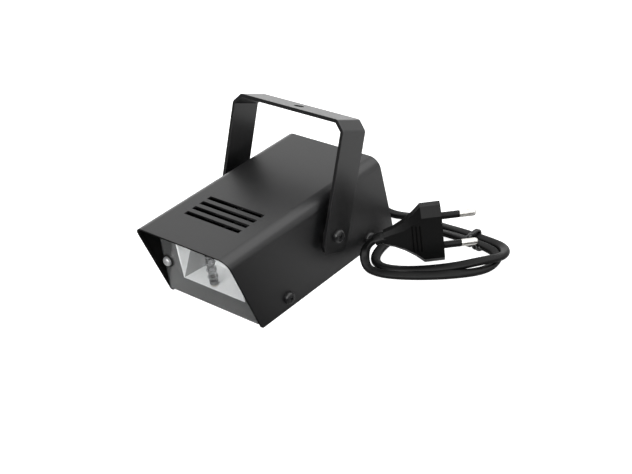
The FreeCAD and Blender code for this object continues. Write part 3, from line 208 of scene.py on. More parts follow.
FINISH = {
    # Polyester powder coat baked on steel: satin, nearly smooth, with an even fine orange peel of 0.6 mm.
    "coat": surface("black_powder_coat", "#0f0f10", "#131314", 0.36, 0.04, 0.6, 0.003, level=0.6),
    # The same coat on the thicker strip, with more gloss; its deeper black is painted shade, so that the arm's inner
    # side beside the case reads as shaded.
    "strip_coat_painted_shade": surface("black_powder_coat_strip_painted_shade", "#0a0a0b", "#0e0e0f", 0.32, 0.04, 0.6, 0.003, level=0.66),
    # Bright zinc plate on screws: clean blue-white metal with a soft cloudiness.
    "zinc": surface("bright_zinc_plate", "#cfd0d1", "#e2e3e3", 0.36, 0.06, 0.5, 0.002, patch_mm=3, metallic=0.6),
    # Black zinc with wax: dark, slightly glossy, picks up light on the recess edges.
    "black_zinc": surface("black_zinc_screw", "#121213", "#1a1a1b", 0.28, 0.06, 0.5, 0.003, patch_mm=3),
    # The coat inside the hood, dull and darker than outside: its darker colour is painted shade for the hood's shadowed
    # inner faces.
    "hood_painted_shade": surface("coat_painted_shade_in_hood", "#060606", "#090909", 0.7, 0.06, 0.4, 0.006, level=0.12),
    # Flange round the bowl: dull grey primer, sprayed thin.
    "grey_lacquer": surface("grey_primer", "#515151", "#595959", 0.6, 0.06, 0.4, 0.004, patch_mm=16, level=0.2),
    # Cheeks of the bowl behind the folds: satin aluminium with the mill's fine lines along Y, 0.3 mm apart; their grey,
    # darker than the rest of the bowl, is painted shade.
    "cheek_aluminium_painted_shade": surface("mill_lined_aluminium_painted_shade", "#919191", "#9d9d9d", 0.4, 0.05, 0.3, 0.002, patch_mm=14,
                              metallic=0.4, stretch=(1, 0.04, 1)),
    # Anodised reflector sheet: pale, its oxide skin scatters as much as the metal mirrors. Fine lines along X,
    # 0.25 mm apart.
    "bright_aluminium": surface("anodised_reflector_sheet", "#f4f4f4", "#fafafa", 0.3, 0.05, 0.25, 0.002, patch_mm=12,
                                metallic=0.15, stretch=(0.04, 1, 1)),
    # Sides of the window as they left the saw: frosted, and their dark grey is painted shade, so that they stay dark
    # against the case.
    "sawn_edge_painted_shade": surface("sawn_polycarbonate_edge_painted_shade", "#3a3c3d", "#4a4c4d", 0.7, 0.06, 0.3, 0.01, patch_mm=5),
    # Extruded polycarbonate sheet, polished: clear with a bright edge.
    "window": clear("clear_polycarbonate", "#f8f9f9", 0.02, 1.58, 8, 0.05),
    # Flash tube: glass greyed inside by metal that the electrodes have shed.
    "flash_glass": clear("greyed_borosilicate_tube", "#d6d6d7", 0.12, 1.47, 3, 0.3),
    # Plain glass of the fuse.
    "glass": clear("soda_glass", "#f4f6f7", 0.02, 1.51, 3),
    # Tinned trigger wire, gone dull.
    "trigger_wire": surface("tinned_wire", "#868687", "#949495", 0.5, 0.06, 0.3, 0.002, patch_mm=2, metallic=0.5),
    # Caps of the flash tube, nickel gone grey with heat.
    "cap": surface("heated_nickel_cap", "#6c6c6c", "#787878", 0.45, 0.06, 0.4, 0.002, patch_mm=2, metallic=0.5),
    # Nickel plate on the board's clips, the electrodes and the knob's shaft.
    "nickel": surface("nickel_plate", "#b9b4ab", "#cfcac2", 0.22, 0.05, 0.4, 0.001, patch_mm=2, metallic=1.0),
    # Nickel-plated brass pins, drawn along their length.
    "pin": surface("nickel_plated_brass_pin", "#cfcdc8", "#dedcd8", 0.3, 0.05, 0.3, 0.001, patch_mm=4, metallic=1.0),
    # Milky silicone bushes.
    "silicone": surface("milky_silicone", "#c9c3b8", "#d8d3ca", 0.5, 0.05, 0.3, 0.003, patch_mm=2),
    # Moulded nylon spacers and nut: dull black.
    "nylon": surface("black_nylon", "#151515", "#1b1b1b", 0.5, 0.06, 0.3, 0.004, patch_mm=5),
    # Vulcanised fibre washers.
    "fibre": surface("black_fibre", "#101010", "#1a1a19", 0.75, 0.06, 0.25, 0.01, patch_mm=2),
    # ABS knob from a spark-eroded mould.
    "abs": surface("black_abs_spark_grain", "#131313", "#181818", 0.45, 0.05, 0.25, 0.008, patch_mm=6),
    # White paint in the pointer's groove.
    "white": surface("white_inlay", "#dcdcd8", "#e6e6e2", 0.45, 0.05, 0.3, 0.004, patch_mm=2),
    # Soft PVC of the strain relief.
    "boot": surface("soft_pvc_boot", "#121212", "#181818", 0.48, 0.05, 0.3, 0.006, patch_mm=5),
    # Flexible PVC sheath: smooth skin with slow shine changes along it.
    "sheath": surface("flexible_pvc_sheath", "#060606", "#0a0a0a", 0.42, 0.06, 1.2, 0.006, patch_mm=9, level=0.2),
    # Moulded PVC plug: fine matte grain of the tool.
    "plug": surface("moulded_pvc_plug", "#040404", "#080808", 0.42, 0.05, 0.4, 0.008, patch_mm=8, level=0.22),
    # Coated tie wire.
    "tie": surface("pvc_coated_tie", "#0f0f0f", "#181818", 0.35, 0.06, 0.4, 0.01, patch_mm=3),
    # Paper-phenolic board, brown with a cloudy ground.
    "laminate": surface("paper_phenolic_board", "#9a7a44", "#b08d52", 0.4, 0.06, 0.5, 0.003, patch_mm=4),
    # Shrink sleeve of the storage capacitors.
    "sleeve": surface("pvc_shrink_sleeve", "#15182a", "#1c2036", 0.25, 0.05, 0.8, 0.004, patch_mm=6),
    # Epoxy-filled film capacitor box.
    "film": surface("red_epoxy_box", "#8e2c1c", "#a23423", 0.35, 0.05, 0.4, 0.004, patch_mm=5),
    # Resin of transformer, diodes and thyristor.
    "resin": surface("black_epoxy_resin", "#17171a", "#202024", 0.5, 0.05, 0.3, 0.006, patch_mm=4),
    # Cement body of the charging resistor.
    "cement": surface("white_cement", "#c4beb0", "#d6d1c4", 0.8, 0.06, 0.4, 0.02, patch_mm=4),
    # Terminal block.
    "block": surface("green_polyamide", "#1d5a36", "#256a41", 0.4, 0.05, 0.3, 0.004, patch_mm=5),
    # Insulation of the inner cores and leads; the lamp's own two are silicone, painted black as shade where they show
    # through the cover's slots.
    "core": surface("brown_pvc_core", "#4a2a1a", "#583322", 0.4, 0.05, 0.5, 0.003, patch_mm=5),
    "lead": surface("white_silicone_lead", "#d0cfc9", "#dedcd7", 0.45, 0.05, 0.5, 0.003, patch_mm=5),
    "lamp_lead": surface("silicone_lead_painted_black_shade", "#060606", "#090909", 0.8, 0.05, 0.5, 0.003, patch_mm=5, ior=1.3),
}

NODE_FINISH = {
    "cover": "coat", "base_chassis": "coat", "bracket": "strip_coat_painted_shade", "window": "window", "window_washers": "fibre",
    "window_screws": "zinc", "reflector": "bright_aluminium", "reflector_grommets": "silicone",
    "xenon_tube": "flash_glass", "tube_end_caps": "cap", "trigger_coil": "trigger_wire", "cover_screws": "black_zinc",
    "pivot_spacers": "nylon", "pivot_screws": "black_zinc", "pivot_nuts": "zinc", "potentiometer": "zinc",
    "pot_washer": "zinc", "pot_nut": "zinc", "pot_shaft": "nickel", "rate_knob": "abs", "knob_pointer": "white",
    "cord_gland": "boot", "gland_nut": "nylon", "circuit_board": "laminate", "board_standoffs": "nickel",
    "board_screws": "zinc", "storage_capacitors": "sleeve", "film_capacitor": "film", "trigger_transformer": "resin",
    "thyristor": "resin", "rectifier_diodes": "resin", "charging_resistor": "cement", "fuse": "glass",
    "fuse_clips": "nickel", "terminal_block": "block", "terminal_screws": "zinc", "mains_cores": "core",
    "lamp_leads": "lamp_lead", "trigger_lead": "lead", "rate_leads": "lead", "cord_lead": "sheath",
    "cord_coil": "sheath", "cord_tail": "sheath", "cord_tie": "tie", "plug_body": "plug", "plug_sleeves": "plug",
    "plug_pins": "pin",
}

for node, finish in NODE_FINISH.items():
    mesh = frame["nodes"][node].data
    mesh.materials.clear()
    mesh.materials.append(FINISH[finish])


# ---------------------------------------------------------------- camera

lens = bpy.data.cameras.new("camera")
lens.lens = 70.75
lens.sensor_width = 36.0
lens.clip_start = 0.01
lens.clip_end = 20.0
camera = new_object("camera", lens)
right, up, back = (0.7507, 0.6491, -0.1228), (-0.2641, 0.4652, 0.8448), (0.6055, -0.6018, 0.5207)
turn = Matrix((right, up, back)).transposed().to_quaternion()
camera.matrix_world = Matrix.Translation(mm(435.9, -405.8, 374.7)) @ turn.to_matrix().to_4x4()
bpy.context.scene.camera = camera


# ---------------------------------------------------------------- mains lead

lead_width, lead_thickness = 5.4, 3.3
# The flat section rocks from side to side on its way: by how much, and how fast from point to point.
sway_degrees, sway_step, sway_start = 16, 0.9, 1.0
gland_to_turns = [(-25, 70.9, 14.2), (-25, 79.8, 15.3), (-21.8, 88.2, 14.2), (-14.6, 93, 10.8), (-6.2, 91.6, 6.8),
                  (0.8, 85.6, 3.4), (6.0, 78.6, 2.2), (11.8, 71.8, 2.2), (20, 67.4, 2.2), (29.4, 66.8, 2.4),
                  (38.4, 69.6, 2.8), (48, 70.2, 2.6)]
turn_middle = [(57, 65.2), (74, 67.6), (91, 67.2), (103, 64.8), (108.8, 56), (104.5, 46), (92.5, 35.2), (77, 24.8),
               (63, 17.6), (51, 17.2), (43.6, 26), (42.6, 42), (46.8, 56)]
# Each turn: how far outside the middle line it lies and its height, corner by corner. The first turn starts
# outside and passes over the second at the right-hand end.
turn_lie = [[(4.4, 2.5), (2.7, 2.3), (2.6, 2.5), (2.4, 3.6), (1.8, 6.2), (-1.7, 6.4), (-2.6, 3.8), (-2.6, 2.4),
             (-2.5, 2.4), (-2.0, 2.4), (-1.2, 2.6), (0.2, 2.7), (0.4, 2.5)],
            [(-1.2, 2.4), (-2.5, 2.3), (-2.7, 2.3), (-2.7, 2.2), (-2.0, 2.2), (2.0, 2.2), (2.7, 2.3), (2.8, 2.4),
             (2.6, 2.4)]]
turns_to_plug = [(55.4, 13.2, 2.6), (50.2, 13.2, 3.4), (47.2, 14.8, 8.2), (46.6, 18.4, 13.6), (50.8, 22.5, 17.5),
                 (54.2, 25.6, 17.65)]


def turn_points():
    """Both turns, from the middle line and each corner's own outward step."""
    middle = [Vector((x, y, 0)) for x, y in turn_middle]
    count = len(middle)
    points = []
    for lie in turn_lie:
        for i, (step, height) in enumerate(lie):
            into = (middle[i] - middle[i - 1]).normalized()
            out = (middle[(i + 1) % count] - middle[i]).normalized()
            side = Vector((-into.y - out.y, into.x + out.x, 0))
            place = middle[i] + side * (2 * step / side.dot(side))
            points.append((place.x, place.y, height))
    return points


def make_lead():
    """The lead's swept mesh, and the middle line that it follows."""
    route = gland_to_turns + turn_points() + turns_to_plug
    sway = [math.radians(sway_degrees * math.sin(sway_step * i + sway_start)) for i in range(len(route))]
    line = smooth_line("lead_route", route, sway)
    path_mesh = plain_mesh(new_object("lead_route", line.copy()), "lead_path")
    path = [tuple(v.co) for v in path_mesh.data.vertices]
    bpy.data.objects.remove(path_mesh)

    tree, given = geometry_tree("flat_lead_sheath", [("Width", "NodeSocketFloat", mm(lead_width)),
                                                     ("Thickness", "NodeSocketFloat", mm(lead_thickness)),
                                                     ("Material", "NodeSocketMaterial", None)])
    upright = add(tree, "GeometryNodeSetCurveNormal", {"mode": "Z_UP"}, {"Curve": given["Geometry"]})
    evened = add(tree, "GeometryNodeResampleCurve", {"mode": "LENGTH", "Length": mm(1.5)},
                 {"Curve": upright.outputs[0]})
    section = add(tree, "GeometryNodeCurvePrimitiveQuadrilateral", links={"Width": given["Width"],
                                                                          "Height": given["Thickness"]})
    half = add(tree, "ShaderNodeMath", {"operation": "MULTIPLY", 1: 0.49}, {0: given["Thickness"]})
    oval = add(tree, "GeometryNodeFilletCurve", {"mode": "POLY", "Count": 5},
               {"Curve": section.outputs[0], "Radius": half.outputs[0]})
    swept = add(tree, "GeometryNodeCurveToMesh", {"Fill Caps": True},
                {"Curve": evened.outputs[0], "Profile Curve": oval.outputs[0]})
    smooth = add(tree, "GeometryNodeSetShadeSmooth", links={0: swept.outputs[0]})
    close_tree(tree, smooth.outputs[0], given["Material"])
    lead = grown(new_object("lead_route", line), tree, "mains_lead", Material=FINISH["sheath"])
    return lead, path


lead, lead_path = make_lead()
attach(lead, "case")
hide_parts("cord_lead", "cord_coil", "cord_tail")


# ---------------------------------------------------------------- sheet and moulded parts with worked edges

def dress(piece, node):
    """The piece rides where its node does and hides it."""
    record = frame["record"]
    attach(piece, next(b for b, members in record["behaviour"]["bodies"].items() if node in members))
    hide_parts(node)
    return piece


def worked_copy(node, name, edge_mm, segments=2, limit=32.0, back_gap=0.0, others=(), bend=None):
    """Copy of a solid with its sharp edges broken, as the real sheet or moulding has them.

    back_gap lifts its rear face off the piece behind, by that many millimetres. others are pairs of a finish
    and a test that picks its faces by their middle and direction, and bend() may first work the shape over."""
    mesh = frame["nodes"][node].data.copy()
    shape = bmesh.new()
    shape.from_mesh(mesh)
    bmesh.ops.remove_doubles(shape, verts=shape.verts, dist=2e-6)
    bmesh.ops.dissolve_limit(shape, angle_limit=math.radians(0.4), verts=shape.verts, edges=shape.edges)
    rear = max(vertex.co.y for vertex in shape.verts)
    for vertex in shape.verts:
        if vertex.co.y > rear - mm(back_gap):
            vertex.co.y -= mm(back_gap)
    if bend:
        bend(shape)
    for face in shape.faces:
        face.smooth = True
        for i, (finish, chosen) in enumerate(others):
            if chosen(face.calc_center_median() * 1000, face.normal):
                face.material_index = i + 1
    shape.to_mesh(mesh)
    shape.free()
    for finish, chosen in others:
        mesh.materials.append(FINISH[finish])
    piece = new_object(name, mesh)
    edges = piece.modifiers.new("edges", "BEVEL")
    edges.width = mm(edge_mm)
    edges.segments = segments
    edges.limit_method = "ANGLE"
    edges.angle_limit = math.radians(limit)
    shading = piece.modifiers.new("shading", "WEIGHTED_NORMAL")
    shading.weight = 90
    return dress(plain_mesh(piece, name), node)


# Mouth of the reflector: its lower line, height and front. Its side walls fold along a slant and lean outwards.
mouth_foot, mouth_height, mouth_front = 14.0, 24.0, -55.7
gusset_slope, gusset_lean = 0.5, 1.7
# How far the bowl lies to the right in its flange: in its middle, and more or less towards each side wall.
bowl_aside, bowl_spread, bowl_half = 2.6, 0.6, 22
lip = 0.7
# What the flange leaves open for the bowl, and the inside of the cover's sides and top.
flange_hole_x, flange_hole_z = (-20.3, 25.5), (13.8, 38.2)
inner_half_width, inner_top = 33.85, 48.85


def between(value, ends):
    return ends[0] < value < ends[1]


def inside_cover(middle, way):
    return abs(middle.x) < inner_half_width and middle.z < inner_top and way.z < 0.2


def on_flange(middle, way):
    in_hole = between(middle.x, flange_hole_x) and between(middle.z, flange_hole_z)
    return middle.y < -55 and not in_hole and abs(way.y) > 0.9


def on_cheek(middle, way):
    deep = middle.y - mouth_front - gusset_slope * (middle.z - mouth_foot)
    return abs(way.x) > 0.5 and 15 < abs(middle.x) < 27 and deep > 0 and middle.y < -38


def on_sawn_side(middle, way):
    return abs(way.x) > 0.7


def fold_gussets(shape):
    """Each side wall of the bowl gets a slanting fold from the mouth's lower corner, and leans out before it.

    The bowl also moves to the right in its flange, out of line with the case, while the tube's holes stay."""
    walls = [f for f in shape.faces if abs(f.normal.x) > 0.9 and 18 < abs(f.calc_center_median().x) * 1000 < 23.5]
    parts = walls + [e for f in walls for e in f.edges] + [v for f in walls for v in f.verts]
    bmesh.ops.bisect_plane(shape, geom=list(dict.fromkeys(parts)), plane_co=mm(0, mouth_front, mouth_foot),
                           plane_no=Vector((0, 1, -gusset_slope)).normalized())
    for vertex in shape.verts:
        aside = min(max(abs(vertex.co.x) / mm(9) - 0.9, 0), 1)
        if abs(vertex.co.x) < mm(24):
            vertex.co.x += aside * mm(bowl_aside + bowl_spread * vertex.co.x / mm(bowl_half))
    flat = [f for f in shape.faces if abs(f.normal.y) > 0.9 and f.calc_center_median().y < mm(-54)]
    bmesh.ops.triangulate(shape, faces=flat)
    for vertex in shape.verts:
        place = vertex.co * 1000
        rise, deep = place.z - mouth_foot, place.y - mouth_front
        fold = gusset_slope * rise
        if 16 < abs(place.x) < 27 and rise > 0.5 and deep < fold:
            share = 1 - max(deep, 0) / fold
            vertex.co.x += math.copysign(mm(gusset_lean) * share * min(rise / mouth_height, 1), place.x)
    rim = [e for e in shape.edges
           if all(abs(v.co.y * 1000 - mouth_front) < 0.02 and abs(v.co.x) < mm(28) and mm(13.9) < v.co.z < mm(38.1)
                  for v in e.verts)]
    bmesh.ops.bevel(shape, geom=rim, offset=mm(lip), segments=3, profile=0.5, affect="EDGES", material=0)
    for edge in shape.edges:
        places = [v.co * 1000 for v in edge.verts]
        folds = [p.y - mouth_front - gusset_slope * (p.z - mouth_foot) for p in places]
        if all(abs(fold) < 0.05 for fold in folds) and all(p.y > mouth_front + 0.5 for p in places):
            edge.smooth = False


# The cover's inner faces take the darker coat: painted shade inside the hood.
worked_copy("cover", "folded_cover", 0.22, others=[("hood_painted_shade", inside_cover)])
worked_copy("base_chassis", "folded_chassis", 0.2)
worked_copy("bracket", "strip_bracket", 0.35, 3)
# The window's sides take a dark grey: painted shade.
worked_copy("window", "clear_window", 0.15, back_gap=0.15, others=[("sawn_edge_painted_shade", on_sawn_side)])
# The bowl's cheeks behind the folds take a darker grey: painted shade.
worked_copy("reflector", "folded_reflector", 0.25, 3, bend=fold_gussets,
            others=[("grey_lacquer", on_flange), ("cheek_aluminium_painted_shade", on_cheek)])
for plain, worked, edge in (("window_washers", "fibre_washers", 0.12), ("pivot_spacers", "nylon_spacers", 0.4),
                            ("rate_knob", "fluted_knob", 0.18), ("pot_nut", "panel_nut", 0.15),
                            ("pot_washer", "panel_washer", 0.1), ("gland_nut", "gland_lock_nut", 0.2),
                            ("cord_gland", "ribbed_gland", 0.25)):
    worked_copy(plain, worked, edge, 2, 40)
plug = worked_copy("plug_body", "moulded_plug", 0.7, 3, 25)
sleeves = worked_copy("plug_sleeves", "pin_sleeves", 0.3, 2, 40)
pins = worked_copy("plug_pins", "mains_pins", 0.4, 3, 40)


# ---------------------------------------------------------------- screws

def screw_tree():
    """Pan-head screws with a cross recess, one on each point, facing along the point's "outward"."""
    tree, given = geometry_tree("pan_head_screws", [
        ("Head Diameter", "NodeSocketFloat", mm(7)), ("Head Height", "NodeSocketFloat", mm(2.5)),
        ("Shank Diameter", "NodeSocketFloat", mm(4)), ("Shank Length", "NodeSocketFloat", mm(6)),
        ("Recess Width", "NodeSocketFloat", mm(4)), ("Seed", "NodeSocketInt", 3),
        ("Material", "NodeSocketMaterial", None)])

    def maths(operation, first, second):
        feeds = {i: v for i, v in enumerate((first, second)) if not isinstance(v, (int, float))}
        fixed = {i: v for i, v in enumerate((first, second)) if isinstance(v, (int, float))}
        return add(tree, "ShaderNodeMath", {"operation": operation, **fixed}, feeds).outputs[0]

    # Head: a ball squared off into a pan shape, with a flat underside.
    ball = add(tree, "GeometryNodeMeshUVSphere", {"Segments": 36, "Rings": 18, "Radius": 1.0})
    place = add(tree, "GeometryNodeInputPosition")
    split = add(tree, "ShaderNodeSeparateXYZ", links={0: place.outputs[0]})
    flat = add(tree, "ShaderNodeVectorMath", {"operation": "MULTIPLY", 1: (1, 1, 0)}, {0: place.outputs[0]})
    reach = add(tree, "ShaderNodeVectorMath", {"operation": "LENGTH"}, {0: flat.outputs[0]}).outputs["Value"]
    squared = maths("POWER", maths("MAXIMUM", reach, 0.001), -0.55)
    radius = maths("MULTIPLY", given["Head Diameter"], 0.5)
    across = add(tree, "ShaderNodeVectorMath", {"operation": "SCALE"},
                 {0: flat.outputs[0], "Scale": maths("MULTIPLY", squared, radius)})
    rise = maths("MULTIPLY", maths("POWER", maths("MAXIMUM", split.outputs[2], 0.0), 0.8), given["Head Height"])
    upward = add(tree, "ShaderNodeCombineXYZ", links={2: rise})
    shaped = add(tree, "ShaderNodeVectorMath", {"operation": "ADD"}, {0: across.outputs[0], 1: upward.outputs[0]})
    head = add(tree, "GeometryNodeSetPosition", links={"Geometry": ball.outputs[0], "Position": shaped.outputs[0]})
    sealed = add(tree, "GeometryNodeMergeByDistance", {"Distance": 1e-6}, {"Geometry": head.outputs[0]})

    # Cross recess: two wedges that narrow towards the bottom.
    depth = maths("MULTIPLY", given["Head Height"], 1.5)
    slim = maths("MULTIPLY", given["Recess Width"], 0.24)
    wide = add(tree, "ShaderNodeCombineXYZ", links={0: given["Recess Width"], 1: slim, 2: depth})
    blade = add(tree, "GeometryNodeMeshCube", links={"Size": wide.outputs[0]})
    level = maths("DIVIDE", add(tree, "ShaderNodeSeparateXYZ", links={0: place.outputs[0]}).outputs[2], depth)
    narrow = add(tree, "ShaderNodeMapRange", {"From Min": -0.5, "From Max": 0.5, "To Min": 0.45, "To Max": 1.0},
                 {"Value": level})
    taper = add(tree, "ShaderNodeCombineXYZ", {2: 1.0}, {0: narrow.outputs[0], 1: narrow.outputs[0]})
    tapered = add(tree, "ShaderNodeVectorMath", {"operation": "MULTIPLY"}, {0: place.outputs[0], 1: taper.outputs[0]})
    wedge = add(tree, "GeometryNodeSetPosition", links={"Geometry": blade.outputs[0], "Position": tapered.outputs[0]})
    top = add(tree, "ShaderNodeCombineXYZ", links={2: given["Head Height"]})
    first = add(tree, "GeometryNodeTransform", links={"Geometry": wedge.outputs[0], "Translation": top.outputs[0]})
    second = add(tree, "GeometryNodeTransform", {"Rotation": (0, 0, math.pi / 2)},
                 {"Geometry": wedge.outputs[0], "Translation": top.outputs[0]})
    cut = add(tree, "GeometryNodeMeshBoolean", {"operation": "DIFFERENCE"}, {"Mesh 1": sealed.outputs[0]})
    for cutter in (second, first):
        tree.links.new(cutter.outputs[0], cut.inputs["Mesh 2"])

    shank = add(tree, "GeometryNodeMeshCylinder", {"Vertices": 24},
                {"Radius": maths("MULTIPLY", given["Shank Diameter"], 0.5), "Depth": given["Shank Length"]})
    below = add(tree, "ShaderNodeCombineXYZ", links={2: maths("MULTIPLY", given["Shank Length"], -0.49)})
    lowered = add(tree, "GeometryNodeTransform", links={"Geometry": shank.outputs[0], "Translation": below.outputs[0]})
    whole = add(tree, "GeometryNodeJoinGeometry", links={0: lowered.outputs[0]})
    tree.links.new(cut.outputs[0], whole.inputs[0])
    edged = crisp_shading(tree, whole.outputs[0])

    facing = add(tree, "GeometryNodeInputNamedAttribute", {"data_type": "FLOAT_VECTOR", "Name": "outward"})
    turned = add(tree, "FunctionNodeAlignRotationToVector", {"axis": "Z"}, {"Vector": facing.outputs[0]})
    stood = add(tree, "GeometryNodeInstanceOnPoints", links={"Points": given["Geometry"], "Instance": edged.outputs[0],
                                                             "Rotation": turned.outputs[0]})
    spin = add(tree, "FunctionNodeRandomValue", {"data_type": "FLOAT"}, {"Seed": given["Seed"]})
    spin.inputs[3].default_value = math.pi
    about = add(tree, "ShaderNodeCombineXYZ", links={2: spin.outputs[1]})
    driven = add(tree, "GeometryNodeRotateInstances", {"Local Space": True},
                 {0: stood.outputs[0], "Rotation": about.outputs[0]})
    close_tree(tree, driven.outputs[0], given["Material"])
    return tree


def drive_screws(node, name, finish, seats, head, rise, shank, length, recess, seed):
    """Screws of one kind, in millimetres; each seat is the middle of the head's underside and the way it faces."""
    mesh = bpy.data.meshes.new(name)
    mesh.from_pydata([mm(*place) for place, way in seats], [], [])
    outward = mesh.attributes.new("outward", "FLOAT_VECTOR", "POINT")
    for i, (place, way) in enumerate(seats):
        outward.data[i].vector = way
    piece = grown(new_object(name, mesh), SCREWS, name, Material=FINISH[finish], Seed=seed,
                  **{"Head Diameter": mm(head), "Head Height": mm(rise), "Shank Diameter": mm(shank),
                     "Shank Length": mm(length), "Recess Width": mm(recess)})
    return dress(piece, node)


SCREWS = screw_tree()
both_sides = (-1, 1)
window_seats = [((side * 30, -57.8, 22), (0.0, -1.0, 0.0)) for side in both_sides]
cover_seats = [((side * 35, y, 6.7), (side, 0.0, 0.0)) for side in both_sides for y in (-34, 34)]
pivot_seats = [((side * 40.6, 3.5, 26.5), (side, 0.0, 0.0)) for side in both_sides]
drive_screws("window_screws", "window_pan_screws", "zinc", window_seats,
             head=5.5, rise=1.9, shank=2.9, length=7.0, recess=3.2, seed=5)
drive_screws("cover_screws", "cover_pan_screws", "black_zinc", cover_seats,
             head=7.2, rise=2.5, shank=3.9, length=6.0, recess=4.2, seed=11)
drive_screws("pivot_screws", "pivot_pan_screws", "black_zinc", pivot_seats,
             head=7.6, rise=2.6, shank=4.9, length=11.0, recess=4.4, seed=8)


# ---------------------------------------------------------------- flash tube

def turned_tree():
    """A profile, X from the axis and Y along it, turned about an upright axis that stands at Place."""
    tree, given = geometry_tree("turned_piece", [("Place", "NodeSocketVector", None), ("Sides", "NodeSocketInt", 32),
                                                 ("Material", "NodeSocketMaterial", None)])
    ring = add(tree, "GeometryNodeCurvePrimitiveCircle", {"Radius": 1e-5}, {"Resolution": given["Sides"]})
    swept = add(tree, "GeometryNodeCurveToMesh", {"Fill Caps": False},
                {"Curve": ring.outputs[0], "Profile Curve": given["Geometry"]})
    closed = add(tree, "GeometryNodeMergeByDistance", {"Distance": 3e-5}, {"Geometry": swept.outputs[0]})
    edged = crisp_shading(tree, closed.outputs[0])
    placed = add(tree, "GeometryNodeTransform", links={"Geometry": edged.outputs[0], "Translation": given["Place"]})
    close_tree(tree, placed.outputs[0], given["Material"])
    return tree


TURNED = turned_tree()


def turned(name, profile, place, finish, sides):
    """Piece turned from a closed profile of (radius, height) corners in millimetres."""
    line = bpy.data.curves.new(name, "CURVE")
    line.dimensions = "3D"
    spline = line.splines.new("POLY")
    spline.points.add(len(profile) - 1)
    for point, (across, along) in zip(spline.points, profile):
        point.co = (*mm(across, -along, 0), 1)
    spline.use_cyclic_u = True
    piece = grown(new_object(name, line), TURNED, name, Place=mm(*place), Sides=sides, Material=FINISH[finish])
    face_outward(piece.data)
    return piece


tube_axis = (0, -52.5, 0)
envelope = turned("flash_tube", [(1.5, 17.6), (2.0, 17.4), (2.2, 17.8), (2.2, 34.2), (2.0, 34.6), (1.5, 34.4)],
                  tube_axis, "flash_glass", 40)
dress(envelope, "xenon_tube")
anode = turned("anode", [(0, 30.4), (0.45, 30.4), (0.55, 30.6), (0.55, 34.2), (0, 34.2)], tube_axis, "nickel", 20)
cathode = turned("cathode", [(0, 20.6), (0.8, 20.6), (0.95, 20.4), (0.95, 18.6), (0.5, 18.4), (0.5, 17.6),
                             (0, 17.6)], tube_axis, "nickel", 20)
for rod in (anode, cathode):
    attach(rod, "case")


# ---------------------------------------------------------------- twisted wire tie

def twisted_tree():
    """Two coated wires laid round each other along a line."""
    tree, given = geometry_tree("twisted_wires", [("Wire", "NodeSocketFloat", mm(1)), ("Lay", "NodeSocketFloat", mm(4)),
                                                  ("Material", "NodeSocketMaterial", None)])
    even = add(tree, "GeometryNodeResampleCurve", {"mode": "LENGTH", "Length": mm(0.35)}, {"Curve": given["Geometry"]})
    upright = add(tree, "GeometryNodeSetCurveNormal", {"mode": "Z_UP"}, {"Curve": even.outputs[0]})
    along = add(tree, "GeometryNodeSplineParameter")
    turns = add(tree, "ShaderNodeMath", {"operation": "DIVIDE"}, {0: along.outputs["Length"], 1: given["Lay"]})
    full = add(tree, "ShaderNodeMath", {"operation": "MULTIPLY", 1: 2 * math.pi}, {0: turns.outputs[0]})
    normal = add(tree, "GeometryNodeInputNormal")
    tangent = add(tree, "GeometryNodeInputTangent")
    across = add(tree, "ShaderNodeVectorMath", {"operation": "CROSS_PRODUCT"},
                 {0: tangent.outputs[0], 1: normal.outputs[0]})
    half = add(tree, "ShaderNodeMath", {"operation": "MULTIPLY", 1: 0.5}, {0: given["Wire"]})
    round_wire = add(tree, "GeometryNodeCurvePrimitiveCircle", {"Resolution": 10}, {"Radius": half.outputs[0]})
    both = add(tree, "GeometryNodeJoinGeometry")
    for start in (0.0, math.pi):
        angle = add(tree, "ShaderNodeMath", {"operation": "ADD", 1: start}, {0: full.outputs[0]})
        parts = []
        for wave, way in (("COSINE", normal), ("SINE", across)):
            value = add(tree, "ShaderNodeMath", {"operation": wave}, {0: angle.outputs[0]})
            reach = add(tree, "ShaderNodeMath", {"operation": "MULTIPLY"}, {0: value.outputs[0], 1: half.outputs[0]})
            parts.append(add(tree, "ShaderNodeVectorMath", {"operation": "SCALE"},
                             {0: way.outputs[0], "Scale": reach.outputs[0]}).outputs[0])
        off = add(tree, "ShaderNodeVectorMath", {"operation": "ADD"}, {0: parts[0], 1: parts[1]})
        strand = add(tree, "GeometryNodeSetPosition", links={"Geometry": upright.outputs[0], "Offset": off.outputs[0]})
        wire = add(tree, "GeometryNodeCurveToMesh", {"Fill Caps": True},
                   {"Curve": strand.outputs[0], "Profile Curve": round_wire.outputs[0]})
        tree.links.new(wire.outputs[0], both.inputs[0])
    smooth = add(tree, "GeometryNodeSetShadeSmooth", links={0: both.outputs[0]})
    close_tree(tree, smooth.outputs[0], given["Material"])
    return tree


